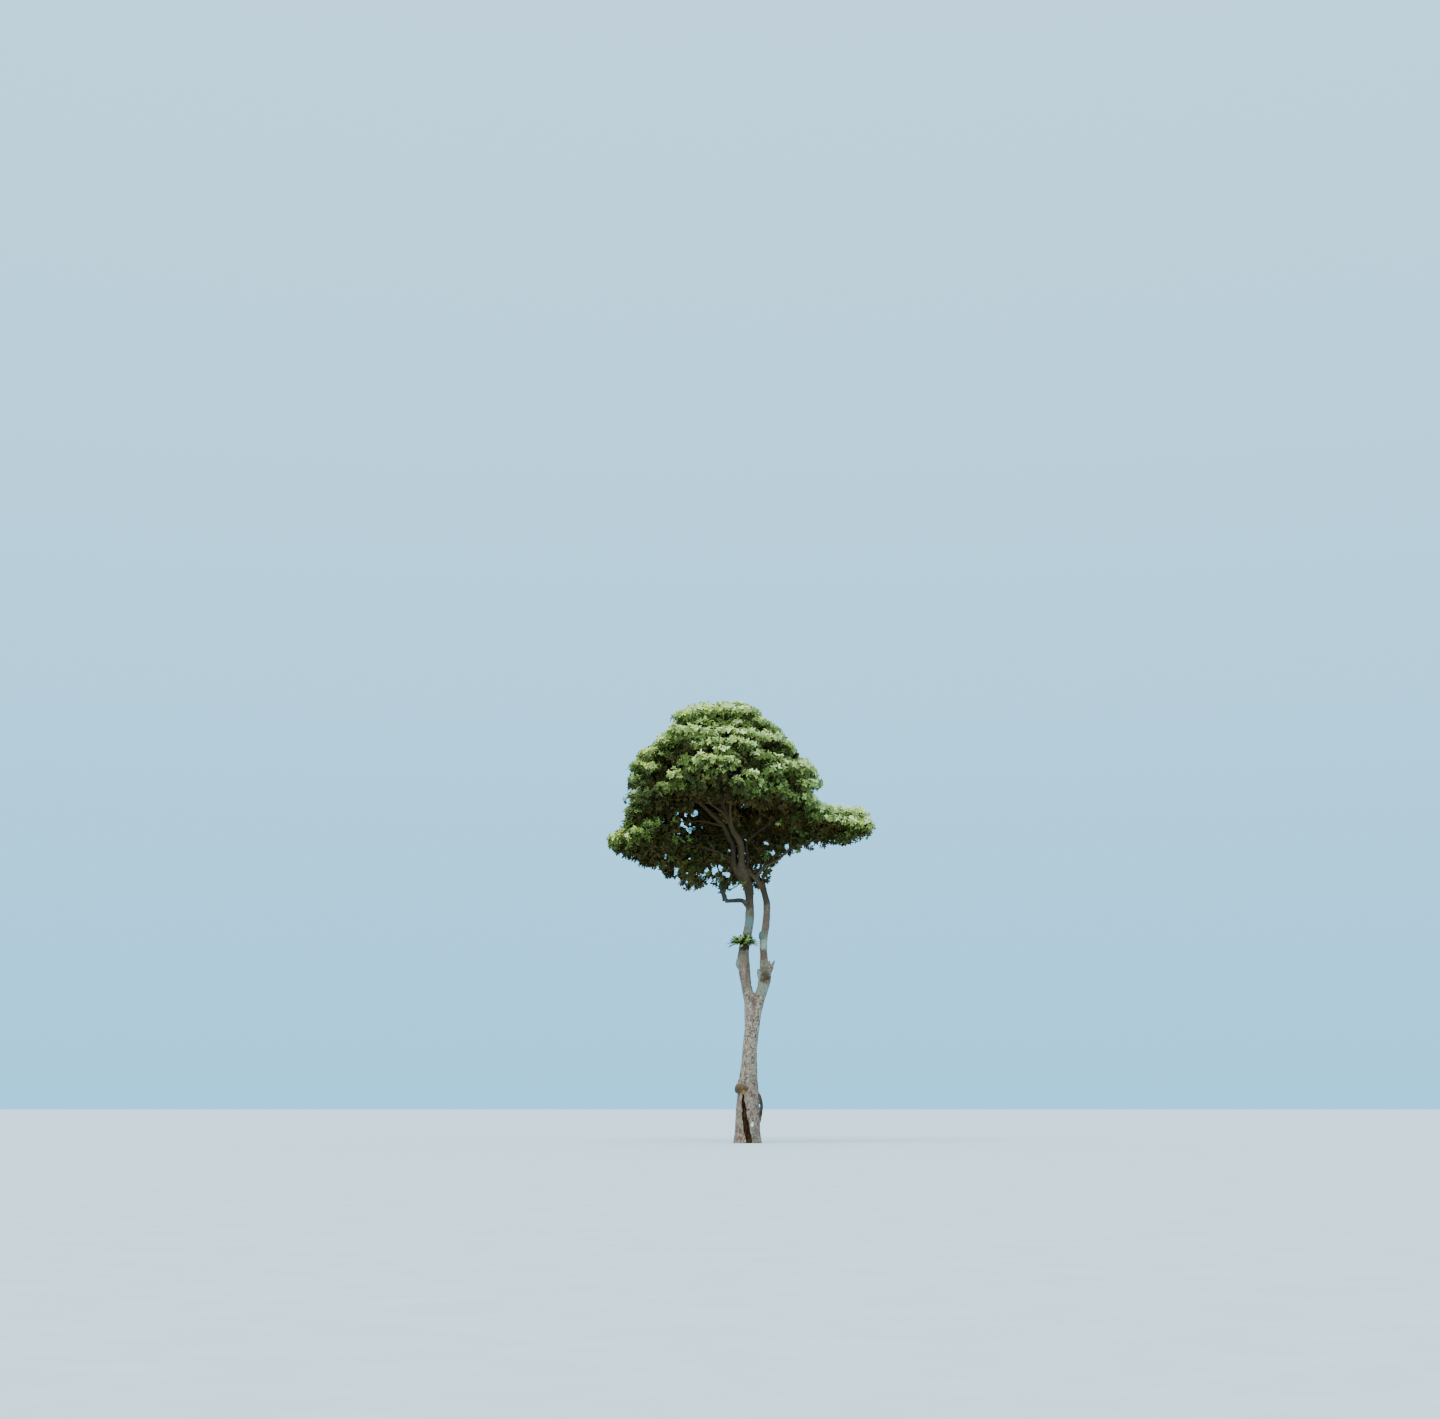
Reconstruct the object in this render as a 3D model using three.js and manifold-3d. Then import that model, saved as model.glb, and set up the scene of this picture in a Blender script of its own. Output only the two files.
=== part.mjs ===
// A lone broad-leaved evergreen tree: one short trunk that forks into two tall stems, and a wide crown of
// billowing foliage masses on radiating boughs. Millimetres, +Z up. The origin is the centre of the flat cut
// at ground level. Seen from the front (looking along +Y), +X is to the right.
import * as THREE from "three";
import { mergeVertices } from "three/addons/utils/BufferGeometryUtils.js";
import Module from "manifold-3d";

const wasm = await Module();
wasm.setup();

// Driving dimensions
const TREE_HEIGHT = 11000;
const FORK_HEIGHT = 3640; // the trunk's flat top, where the two stems stand
const JOIN_HEIGHT = 6700; // the left stem's top, where the three leaders stand
const CLEARANCE = 0.3; // between pieces that touch
const LIMB_STEP = 360; // length of one straight stretch of a bough
const BOUGH_SIDES = 6;
const TRUNK_SIDES = 13;
const STEM_SIDES = 10;
const BOUGH_TIP_RADIUS = 18;
const TWIG_RADIUS = 14;
const SPACE_GAP = 30; // air between the spaces of neighbouring foliage masses
const LEAF = { width: 270, thickness: 20, clear: 12 }; // one leaf stands for a spray
const LEAF_SPLAY = 0.5; // radians between a twig and the leaves round its end
const CORE_SHARE = 0.85; // a dense mass's core, as a share of its space
const TWIG_SHARE = 0.88; // how far a twig reaches, as a share of the space
const TWIGS_PER_MASS = 6;
const LEAVES_PER_TWIG = 3;
const CROWN_CENTRE = { x: -580, y: 0, z: 8600 };

const BARK = new THREE.MeshStandardMaterial({ color: 0x8c8177, roughness: 0.95, metalness: 0 });
const FOLIAGE = new THREE.MeshStandardMaterial({ color: 0x5f7d38, roughness: 0.7, metalness: 0 });

const vec = (x, y, z) => new THREE.Vector3(x, y, z);
const through = (points) =>
  new THREE.CatmullRomCurve3(
    points.map((p) => vec(...p)),
    false,
    "centripetal",
  );

// A seeded random number from 0 to 1
function randomFrom(seed) {
  let state = seed >>> 0;
  return () => {
    state = (state + 0x6d2b79f5) >>> 0;
    let t = Math.imul(state ^ (state >>> 15), 1 | state);
    t = (t + Math.imul(t ^ (t >>> 7), 61 | t)) ^ t;
    return ((t ^ (t >>> 14)) >>> 0) / 4294967296;
  };
}

// Solids

function solidOf(geometry) {
  const bare = geometry.clone();
  for (const name of Object.keys(bare.attributes)) if (name !== "position") bare.deleteAttribute(name);
  const merged = mergeVertices(bare, 1e-3);
  return new wasm.Manifold(
    new wasm.Mesh({
      numProp: 3,
      vertProperties: merged.attributes.position.array,
      triVerts: new Uint32Array(merged.index.array),
    }),
  );
}

// The largest outer skin of a solid: loose scraps are dropped and sealed hollows are filled
function largestBody(solid) {
  return solid.decompose().reduce((a, b) => (b.volume() > a.volume() ? b : a));
}

function meshOf(name, solid, material) {
  const found = solid.getMesh();
  const geometry = new THREE.BufferGeometry();
  geometry.setAttribute("position", new THREE.BufferAttribute(found.vertProperties, 3));
  geometry.setIndex(new THREE.BufferAttribute(found.triVerts, 1));
  geometry.computeVertexNormals();
  const mesh = new THREE.Mesh(geometry, material.clone());
  mesh.name = name;
  return mesh;
}

// A closed skin over rings of points, with a flat fan over each end
function loft(rings) {
  const sides = rings[0].length;
  const position = rings.flat().flatMap((p) => [p.x, p.y, p.z]);
  const index = [];
  for (let i = 0; i + 1 < rings.length; i++)
    for (let k = 0; k < sides; k++) {
      const a = i * sides + k;
      const b = i * sides + ((k + 1) % sides);
      index.push(a, b, b + sides, a, b + sides, a + sides);
    }
  const top = (rings.length - 1) * sides;
  for (let k = 1; k + 1 < sides; k++) {
    index.push(0, k + 1, k);
    index.push(top, top + k, top + k + 1);
  }
  const geometry = new THREE.BufferGeometry();
  geometry.setAttribute("position", new THREE.BufferAttribute(new Float32Array(position), 3));
  geometry.setIndex(index);
  return geometry;
}

function boxBetween(zLow, zHigh) {
  const side = 4 * TREE_HEIGHT;
  const box = new THREE.BoxGeometry(side, side, zHigh - zLow);
  box.translate(0, 0, (zLow + zHigh) / 2);
  return solidOf(box);
}

// A rounded swelling on the bark
function knob(x, y, z, rx, ry, rz) {
  const ball = new THREE.IcosahedronGeometry(1, 1);
  ball.scale(rx, ry, rz);
  ball.translate(x, y, z);
  return solidOf(ball);
}

// An upright limb: level oval rings at stations { z, x, y, rx, ry }
function uprightLimb(stations, sides, shape, grow = 0) {
  const rings = stations.map((s, i) => {
    const end = i === 0 ? -grow : i === stations.length - 1 ? grow : 0;
    return Array.from({ length: sides }, (_, k) => {
      const angle = (2 * Math.PI * k) / sides;
      const r = shape(angle, s.z);
      return vec(
        s.x + (s.rx * r + grow) * Math.cos(angle),
        s.y + (s.ry * r + grow) * Math.sin(angle),
        s.z + end,
      );
    });
  });
  return solidOf(loft(rings));
}

// A bough or twig: rings square to a curve, with a radius that tapers from one end to the other
function taperedLimb(curve, radiusAt, sides, grow = 0) {
  const steps = Math.max(1, Math.round(curve.getLength() / LIMB_STEP));
  const frames = curve.computeFrenetFrames(steps, false);
  const rings = [];
  for (let i = 0; i <= steps; i++) {
    const centre = curve.getPointAt(i / steps);
    if (grow && i === 0) centre.addScaledVector(frames.tangents[0], -grow);
    if (grow && i === steps) centre.addScaledVector(frames.tangents[steps], grow);
    const r = radiusAt(i / steps) + grow;
    rings.push(
      Array.from({ length: sides }, (_, k) => {
        const angle = (2 * Math.PI * k) / sides;
        return centre
          .clone()
          .addScaledVector(frames.normals[i], r * Math.cos(angle))
          .addScaledVector(frames.binormals[i], r * Math.sin(angle));
      }),
    );
  }
  return solidOf(loft(rings));
}

// A tapering spike, such as a broken stub or a loose strip of bark
function spike(from, to, rootRadius, tipRadius) {
  return taperedLimb(new THREE.LineCurve3(from, to), (t) => rootRadius + (tipRadius - rootRadius) * t, 5);
}

// Foliage masses: each keeps to its own space, an oval cut back by flat walls shared with its neighbours

const masses = new Map();

// The first twig of a mass points outward, and coreShare is 0 in a mass that is too open to have a core
function addSpace(name, centre, radii, { coreShare = CORE_SHARE, outward } = {}) {
  const middle = vec(...centre);
  const pole = outward ? vec(...outward) : middle.clone().sub(CROWN_CENTRE);
  masses.set(name, {
    name,
    centre: middle,
    radii: vec(...radii),
    walls: [],
    coreShare,
    pole: pole.normalize(),
  });
}

// A ring of alike spaces round an upright axis at axisX, numbered from near +X over +Y
function addRing(name, { count, axisX, ring, z, first = 0, radii }) {
  for (let i = 0; i < count; i++) {
    const angle = THREE.MathUtils.degToRad(first + (360 * i) / count);
    addSpace(`${name}_${i + 1}`, [axisX + ring * Math.cos(angle), ring * Math.sin(angle), z], radii);
  }
}

const ovalReach = (mass, direction) =>
  1 / Math.hypot(direction.x / mass.radii.x, direction.y / mass.radii.y, direction.z / mass.radii.z);

function addWalls() {
  for (const a of masses.values())
    for (const b of masses.values()) {
      if (a === b) continue;
      const towards = b.centre.clone().sub(a.centre);
      const apart = towards.length();
      towards.divideScalar(apart);
      const reachA = ovalReach(a, towards);
      const reachB = ovalReach(b, towards);
      if (reachA + reachB < apart - SPACE_GAP) continue;
      a.walls.push({ normal: towards, distance: (apart * reachA) / (reachA + reachB) - SPACE_GAP / 2 });
    }
}

// How far a mass's space reaches from its centre along a direction
function reach(mass, direction) {
  let found = ovalReach(mass, direction);
  for (const wall of mass.walls) {
    const along = wall.normal.dot(direction);
    if (along > 1e-6) found = Math.min(found, wall.distance / along);
  }
  return found;
}

function holds(mass, point) {
  const offset = point.clone().sub(mass.centre);
  const distance = offset.length();
  return distance < 1 || distance <= reach(mass, offset.divideScalar(distance));
}

function makeSpaces() {
  addRing("crest", { count: 3, axisX: -590, ring: 620, z: 10245, first: 90, radii: [1050, 1050, 755] });
  addRing("upper", { count: 6, axisX: -730, ring: 1330, z: 9550, first: 5, radii: [950, 950, 770] });
  addRing("middle", { count: 6, axisX: -580, ring: 1650, z: 8920, first: -25, radii: [1050, 1050, 800] });
  addSpace("side_left", [-2310, 60, 8030], [900, 940, 660], { outward: [-1, 0, 0] });
  addSpace("back_left", [-1000, 1340, 7940], [760, 900, 600], { coreShare: 0.7 });
  addSpace("back", [-120, 1540, 7920], [960, 900, 660]);
  addSpace("back_right", [900, 980, 7950], [900, 900, 620]);
  addSpace("right_lobe_inner", [1600, 60, 7980], [820, 820, 490]);
  addSpace("right_lobe_outer", [2450, 0, 7880], [850, 760, 520], { outward: [1, 0, -0.25] });
  addSpace("left_lobe_outer", [-2860, -200, 7420], [650, 620, 460], { outward: [-1, 0, 0] });
  addSpace("left_lobe_inner", [-2100, 120, 7430], [720, 660, 430], { outward: [-1, -1, -0.5] });
  addSpace("low_left_outer", [-1980, 280, 6970], [740, 620, 430], { coreShare: 0.7, outward: [-1, 0, -0.3] });
  addSpace("low_left_inner", [-1360, 100, 6750], [560, 560, 575], { coreShare: 0.7, outward: [0.1, 0, -1] });
  addSpace("low_middle", [-790, 180, 7080], [460, 500, 460], { coreShare: 0, outward: [0, 0, -1] });
  addSpace("low_right", [440, 460, 7280], [520, 500, 480], { coreShare: 0.7, outward: [0.3, 0, -1] });
  addWalls();
}

// The stretch of a curve before it enters a mass's space
function upToSpace(curve, mass) {
  const steps = 200;
  let end = 1;
  while (end < steps && !holds(mass, curve.getPointAt(end / steps))) end++;
  return new THREE.CatmullRomCurve3(
    Array.from({ length: 9 }, (_, k) => curve.getPointAt(((end / steps) * k) / 8)),
    false,
    "centripetal",
  );
}

// Every limb so far: its solid, the same solid grown by the clearance, its curve and its radius along it

const limbs = new Map();

function addLimb(name, solid, grown, curve, radiusAt) {
  let cut = solid;
  for (const other of limbs.values()) cut = cut.subtract(other.grown);
  const stretches = Math.ceil(curve.getLength() / 150);
  const beads = Array.from({ length: stretches + 1 }, (_, i) => ({
    at: curve.getPointAt(i / stretches),
    radius: radiusAt(i / stretches),
  }));
  limbs.set(name, { solid: largestBody(cut), grown, curve, radiusAt, beads });
}

// How far a point is from the skin of the nearest limb
function clearOfLimbs(point) {
  let nearest = Infinity;
  const line = new THREE.Line3();
  const foot = vec(0, 0, 0);
  for (const { beads } of limbs.values())
    for (let i = 0; i + 1 < beads.length; i++) {
      line.set(beads[i].at, beads[i + 1].at);
      line.closestPointToPoint(point, true, foot);
      nearest = Math.min(nearest, foot.distanceTo(point) - Math.max(beads[i].radius, beads[i + 1].radius));
    }
  return nearest;
}

// A bough along a curve. A floor trims its foot level at that height, and a bough that carries a mass ends
// where it enters the mass's space.
function addBough(name, wholeCurve, rootRadius, tipRadius, { floor, carries } = {}) {
  const mass = masses.get(carries);
  const curve = mass ? upToSpace(wholeCurve, mass) : wholeCurve;
  if (mass) mass.carrier = { tip: curve.getPointAt(1), direction: curve.getTangentAt(1), radius: tipRadius };
  const radiusAt = (t) => rootRadius + (tipRadius - rootRadius) * Math.pow(t, 0.8);
  let solid = taperedLimb(curve, radiusAt, BOUGH_SIDES);
  let grown = taperedLimb(curve, radiusAt, BOUGH_SIDES, CLEARANCE / Math.cos(Math.PI / BOUGH_SIDES));
  if (floor !== undefined) {
    const above = boxBetween(floor + CLEARANCE, 2 * TREE_HEIGHT);
    solid = solid.intersect(above);
    grown = grown.intersect(above);
  }
  addLimb(name, solid, grown, curve, radiusAt);
}

function addUpright(name, stations, sides, { shape = () => 1, extras = [] } = {}) {
  const curve = new THREE.CatmullRomCurve3(stations.map((s) => vec(s.x, s.y, s.z)));
  let solid = uprightLimb(stations, sides, shape);
  let grown = uprightLimb(stations, sides, shape, CLEARANCE / Math.cos(Math.PI / sides));
  for (const extra of extras) {
    solid = solid.add(extra);
    grown = grown.add(extra);
  }
  const widest = Math.max(...stations.map((s) => s.rx));
  const narrowest = Math.min(...stations.map((s) => s.rx));
  addLimb(name, solid, grown, curve, (t) => (t < 0.5 ? widest : (widest + narrowest) / 2));
}

// The trunk

const TRUNK = [
  { z: 0, x: -10, y: 0, rx: 340, ry: 330 },
  { z: 160, x: -6, y: 0, rx: 318, ry: 306 },
  { z: 600, x: 4, y: 0, rx: 299, ry: 285 },
  { z: 1030, x: 15, y: 0, rx: 268, ry: 258 },
  { z: 1600, x: 35, y: 0, rx: 224, ry: 218 },
  { z: 2010, x: 57, y: 0, rx: 189, ry: 190 },
  { z: 2290, x: 68, y: 5, rx: 181, ry: 182 },
  { z: 2730, x: 118, y: 10, rx: 179, ry: 176 },
  { z: 3180, x: 152, y: 10, rx: 212, ry: 172 },
  { z: 3480, x: 181, y: 10, rx: 262, ry: 166 },
  { z: FORK_HEIGHT, x: 196, y: 10, rx: 304, ry: 160 },
];

// Root flare: low lobes that fade out with height. Near the fork a crease front and back parts the stems.
const FLARE = { lobes: 5, height: 620, size: 0.1 };
const CREASE = { from: 2900, depth: 0.3 };

function trunkShape(angle, z) {
  const flare = FLARE.size * Math.max(0, 1 - z / FLARE.height) * Math.cos(FLARE.lobes * angle + 0.6);
  const rise = Math.max(0, (z - CREASE.from) / (FORK_HEIGHT - CREASE.from));
  return 1 + flare - CREASE.depth * rise * Math.pow(Math.abs(Math.sin(angle)), 8);
}

// The hollow slit in the front of the butt, widening as it runs down from the burl to the ground
const SLIT = { top: 1200, bottom: 70, topX: -105, bottomX: 40, halfTop: 18, halfBottom: 60, depth: 190 };

function slitCutter() {
  const steps = 6;
  const side = (sign) =>
    Array.from({ length: steps + 1 }, (_, i) => {
      const t = i / steps;
      const middle = SLIT.topX + (SLIT.bottomX - SLIT.topX) * t - 30 * Math.sin(Math.PI * t);
      const half = SLIT.halfTop + (SLIT.halfBottom - SLIT.halfTop) * Math.sin(0.62 * Math.PI * t);
      return new THREE.Vector2(middle + sign * half, SLIT.top + (SLIT.bottom - SLIT.top) * t);
    });
  const outline = new THREE.Shape([...side(-1), ...side(1).reverse()]);
  const cutter = new THREE.ExtrudeGeometry(outline, { depth: 2 * TRUNK[0].ry, bevelEnabled: false });
  cutter.rotateX(Math.PI / 2); // the outline stands up and the extrusion runs to the front
  cutter.translate(0, SLIT.depth - TRUNK[2].ry, 0);
  return solidOf(cutter);
}

function addTrunk() {
  const burl = knob(-170, -110, 1310, 128, 130, 140);
  const scar = knob(-95, -285, 1240, 60, 75, 88);
  const flake = spike(vec(262, -10, 1215), vec(326, -20, 1010), 32, 24).add(
    spike(vec(326, -20, 1035), vec(308, -20, 700), 24, 7),
  );
  addUpright("trunk", TRUNK, TRUNK_SIDES, { shape: trunkShape, extras: [burl, flake] });
  const trunk = limbs.get("trunk");
  trunk.solid = largestBody(trunk.solid.subtract(slitCutter()).subtract(scar));
}

// The two stems

const LEFT_STEM = [
  { z: FORK_HEIGHT + CLEARANCE, x: 36, y: 10, rx: 142, ry: 140 },
  { z: 3870, x: -16, y: 0, rx: 133, ry: 136 },
  { z: 4100, x: -52, y: -5, rx: 143, ry: 140 },
  { z: 4480, x: -88, y: -10, rx: 150, ry: 138 },
  { z: 4750, x: -74, y: -10, rx: 134, ry: 130 },
  { z: 5000, x: -18, y: -5, rx: 122, ry: 120 },
  { z: 5250, x: 36, y: 0, rx: 111, ry: 112 },
  { z: 5480, x: 72, y: 0, rx: 102, ry: 104 },
  { z: 5850, x: 76, y: 0, rx: 94, ry: 98 },
  { z: 6145, x: 60, y: 0, rx: 97, ry: 98 },
  { z: 6370, x: 6, y: 0, rx: 104, ry: 104 },
  { z: 6560, x: -66, y: 5, rx: 148, ry: 120 },
  { z: JOIN_HEIGHT, x: -112, y: 10, rx: 204, ry: 132 },
];

const RIGHT_STEM = [
  { z: FORK_HEIGHT + CLEARANCE, x: 344, y: 10, rx: 150, ry: 142 },
  { z: 3760, x: 386, y: 15, rx: 148, ry: 142 },
  { z: 3980, x: 438, y: 20, rx: 158, ry: 142 },
  { z: 4200, x: 452, y: 20, rx: 132, ry: 122 },
  { z: 4530, x: 425, y: 20, rx: 92, ry: 94 },
  { z: 5030, x: 424, y: 20, rx: 92, ry: 90 },
  { z: 5250, x: 468, y: 20, rx: 82, ry: 82 },
  { z: 5700, x: 510, y: 15, rx: 73, ry: 74 },
  { z: 5920, x: 500, y: 10, rx: 75, ry: 74 },
  { z: 6145, x: 446, y: 0, rx: 77, ry: 76 },
  { z: 6300, x: 400, y: 0, rx: 84, ry: 78 },
  { z: 6440, x: 388, y: 0, rx: 66, ry: 66 },
];

function addStems() {
  const leftKnot = knob(-214, -20, 4500, 66, 80, 140);
  addUpright("left_stem", LEFT_STEM, STEM_SIDES, { extras: [leftKnot] });
  const stub = spike(vec(520, 10, 4150), vec(624, 0, 4330), 84, 56).add(
    spike(vec(606, 0, 4300), vec(660, -10, 4450), 42, 8),
  );
  const rightKnot = knob(370, 10, 5060, 58, 70, 100);
  addUpright("right_stem", RIGHT_STEM, STEM_SIDES, { extras: [stub, rightKnot] });
}

// The limbs that show from the ground, in the order in which they leave the stems. Root and tip are radii,
// and a mass that a limb carries is named with it.
const SHOWN_LIMBS = {
  stem_link: {
    root: 66,
    tip: 58,
    points: [[372, -10, 6290], [235, -25, 6510], [120, -25, 6640], [20, -10, 6760]],
  },
  leader_middle: {
    root: 100,
    tip: 34,
    floor: JOIN_HEIGHT,
    carries: "crest_1",
    points: [
      [-58, -25, 6560], [-104, -40, 6880], [-136, -70, 7380], [-290, -90, 7720],
      [-520, -90, 8120], [-640, -40, 8800], [-620, 60, 9350], [-600, 200, 9900],
    ],
  },
  leader_left: {
    root: 90,
    tip: 34,
    floor: JOIN_HEIGHT,
    carries: "middle_4",
    points: [
      [-200, 30, 6560], [-300, 60, 6890], [-330, 110, 7380],
      [-430, 130, 7700], [-800, 110, 8100], [-1500, 40, 8700],
    ],
  },
  leader_right: {
    root: 44,
    tip: 24,
    floor: JOIN_HEIGHT,
    carries: "middle_1",
    points: [
      [62, 60, 6560], [40, 85, 7060], [30, 110, 7450],
      [250, 130, 7680], [620, 70, 7960], [1020, -80, 8420],
    ],
  },
  bough_left_long: {
    root: 44,
    tip: 22,
    carries: "left_lobe_inner",
    points: [
      [-330, 60, 7000], [-560, -20, 7130], [-870, -140, 7220],
      [-1260, -220, 7290], [-1700, -80, 7340], [-2120, 100, 7420],
    ],
  },
  bough_left_low: {
    root: 40,
    tip: 22,
    carries: "low_left_inner",
    points: [
      [-240, 60, 6700], [-420, 80, 6840], [-640, 60, 6950],
      [-900, -60, 7060], [-1130, 20, 6930], [-1330, 100, 6720],
    ],
  },
  twisted_bough: {
    root: 44,
    tip: 36,
    points: [[60, -20, 5800], [-110, -70, 5950], [-330, -80, 5950], [-540, -80, 5940]],
  },
  twisted_bough_rise: {
    root: 34,
    tip: 22,
    carries: "low_middle",
    points: [
      [-545, -80, 5950], [-560, -76, 6060], [-640, -60, 6290],
      [-612, -30, 6520], [-720, 40, 6760], [-800, 120, 7000],
    ],
  },
  bough_right_low: {
    root: 42,
    tip: 22,
    carries: "right_lobe_outer",
    points: [
      [225, -20, 6540], [440, -40, 6800], [740, -60, 6985], [1130, -80, 7230],
      [1400, -80, 7400], [1900, -40, 7560], [2480, 0, 7890],
    ],
  },
  bough_right_high: {
    root: 34,
    tip: 20,
    carries: "right_lobe_inner",
    points: [
      [400, 20, 6380], [440, 50, 6620], [560, 80, 6880],
      [820, 90, 7240], [1090, 60, 7480], [1400, 80, 7800],
    ],
  },
};

function addShownLimbs() {
  for (const [name, { points, root, tip, floor, carries }] of Object.entries(SHOWN_LIMBS))
    addBough(name, through(points), root, tip, { floor, carries });
}

// Boughs inside the crown: each leaves a shown limb and ends where it enters its mass. Share is the place
// along the parent, and lift the rise of the bend as a share of the length.
function addCrownBough([massName, parentName, share, lift, rootRadius]) {
  const mass = masses.get(massName);
  const parent = limbs.get(parentName);
  const from = parent.curve.getPointAt(share);
  const direction = from.clone().sub(mass.centre).normalize();
  const to = mass.centre.clone().addScaledVector(direction, 0.8 * reach(mass, direction));
  const bend = from.clone().lerp(to, 0.45);
  bend.z += lift * from.distanceTo(to);
  const curve = new THREE.QuadraticBezierCurve3(from, bend, to);
  const radius = Math.min(rootRadius, 0.85 * parent.radiusAt(share));
  addBough(`bough_${massName}`, curve, radius, BOUGH_TIP_RADIUS, { carries: massName });
}

const CROWN_BOUGHS = [
  ["crest_2", "leader_middle", 0.93, 0.1, 32],
  ["crest_3", "leader_middle", 0.88, 0.1, 32],
  ["upper_1", "leader_middle", 0.8, 0.12, 36],
  ["upper_2", "leader_middle", 0.84, 0.1, 34],
  ["upper_3", "leader_middle", 0.76, 0.1, 34],
  ["upper_4", "leader_middle", 0.72, 0.1, 38],
  ["upper_5", "leader_middle", 0.67, 0.1, 38],
  ["upper_6", "leader_middle", 0.63, 0.1, 38],
  ["middle_2", "leader_middle", 0.57, 0.12, 40],
  ["middle_3", "leader_left", 0.72, 0.1, 36],
  ["middle_5", "leader_middle", 0.53, 0.08, 40],
  ["middle_6", "leader_middle", 0.44, 0.12, 40],
  ["side_left", "leader_left", 0.56, 0.1, 36],
  ["back_left", "leader_left", 0.42, 0.06, 36],
  ["back", "leader_right", 0.28, 0.05, 32],
  ["back_right", "leader_right", 0.5, 0.05, 26],
  ["left_lobe_outer", "bough_left_long", 0.8, -0.1, 24],
  ["low_left_outer", "bough_left_low", 0.6, 0.04, 28],
  ["low_right", "bough_right_high", 0.3, 0.1, 26],
];

// Foliage

// Directions spread evenly round a pole by the golden angle, the first of them along the pole
function spreadDirections(count, pole, lowest) {
  const turn = new THREE.Quaternion().setFromUnitVectors(vec(0, 0, 1), pole);
  return Array.from({ length: count }, (_, i) => {
    const height = 1 - ((1 - lowest) * i) / (count - 1);
    const across = Math.sqrt(Math.max(0, 1 - height * height));
    const angle = i * Math.PI * (3 - Math.sqrt(5));
    return vec(across * Math.cos(angle), across * Math.sin(angle), height).applyQuaternion(turn);
  });
}

function tilted(direction, angle, azimuth) {
  const side = Math.abs(direction.z) < 0.9 ? vec(0, 0, 1).cross(direction).normalize() : vec(1, 0, 0);
  const other = direction.clone().cross(side).normalize();
  const across = side.multiplyScalar(Math.cos(azimuth)).addScaledVector(other, Math.sin(azimuth));
  const turned = direction.clone().multiplyScalar(Math.cos(angle));
  return turned.addScaledVector(across, Math.sin(angle)).normalize();
}

const spaceEdge = (mass, direction, share) =>
  mass.centre.clone().addScaledVector(direction, share * reach(mass, direction));

// A blade of eight faces from root to tip, widest in the middle, or nothing where it has no room
function leaf(mass, root, tip, roll) {
  const along = tip.clone().sub(root);
  const length = along.length();
  along.normalize();
  const flat = Math.abs(along.z) < 0.95 ? vec(0, 0, 1).cross(along).normalize() : vec(1, 0, 0);
  const side = flat.applyAxisAngle(along, roll);
  const face = along.clone().cross(side);
  const middle = root.clone().lerp(tip, 0.5);
  const corners = [
    tip,
    middle.clone().addScaledVector(side, LEAF.width / 2),
    middle.clone().addScaledVector(side, -LEAF.width / 2),
  ];
  const edges = [...corners, tip.clone().lerp(corners[1], 0.5), tip.clone().lerp(corners[2], 0.5), middle];
  if (!edges.every((p) => holds(mass, p) && clearOfLimbs(p) > LEAF.clear + LEAF.thickness)) return null;
  const blade = new THREE.OctahedronGeometry(1);
  blade.applyMatrix4(
    new THREE.Matrix4()
      .makeBasis(
        side.clone().multiplyScalar(LEAF.width / 2),
        face.multiplyScalar(LEAF.thickness / 2),
        along.multiplyScalar(length / 2),
      )
      .setPosition(middle),
  );
  return solidOf(blade);
}

// A dense mass's core: a faceted ball with lumps, kept off the limbs
function core(mass, random) {
  const faceted = new THREE.IcosahedronGeometry(1, 1).deleteAttribute("normal").deleteAttribute("uv");
  const ball = mergeVertices(faceted);
  const at = ball.attributes.position;
  for (let i = 0; i < at.count; i++) {
    const direction = vec(at.getX(i), at.getY(i), at.getZ(i)).normalize();
    let share = mass.coreShare * (0.92 + 0.14 * random());
    while (share > 0.2 && clearOfLimbs(spaceEdge(mass, direction, share)) < 60) share -= 0.06;
    const p = spaceEdge(mass, direction, share);
    at.setXYZ(i, p.x, p.y, p.z);
  }
  return solidOf(ball);
}

function straightTwig(from, to, rootRadius, tipRadius) {
  return taperedLimb(new THREE.LineCurve3(from, to), (t) => rootRadius + (tipRadius - rootRadius) * t, 3);
}

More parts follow.
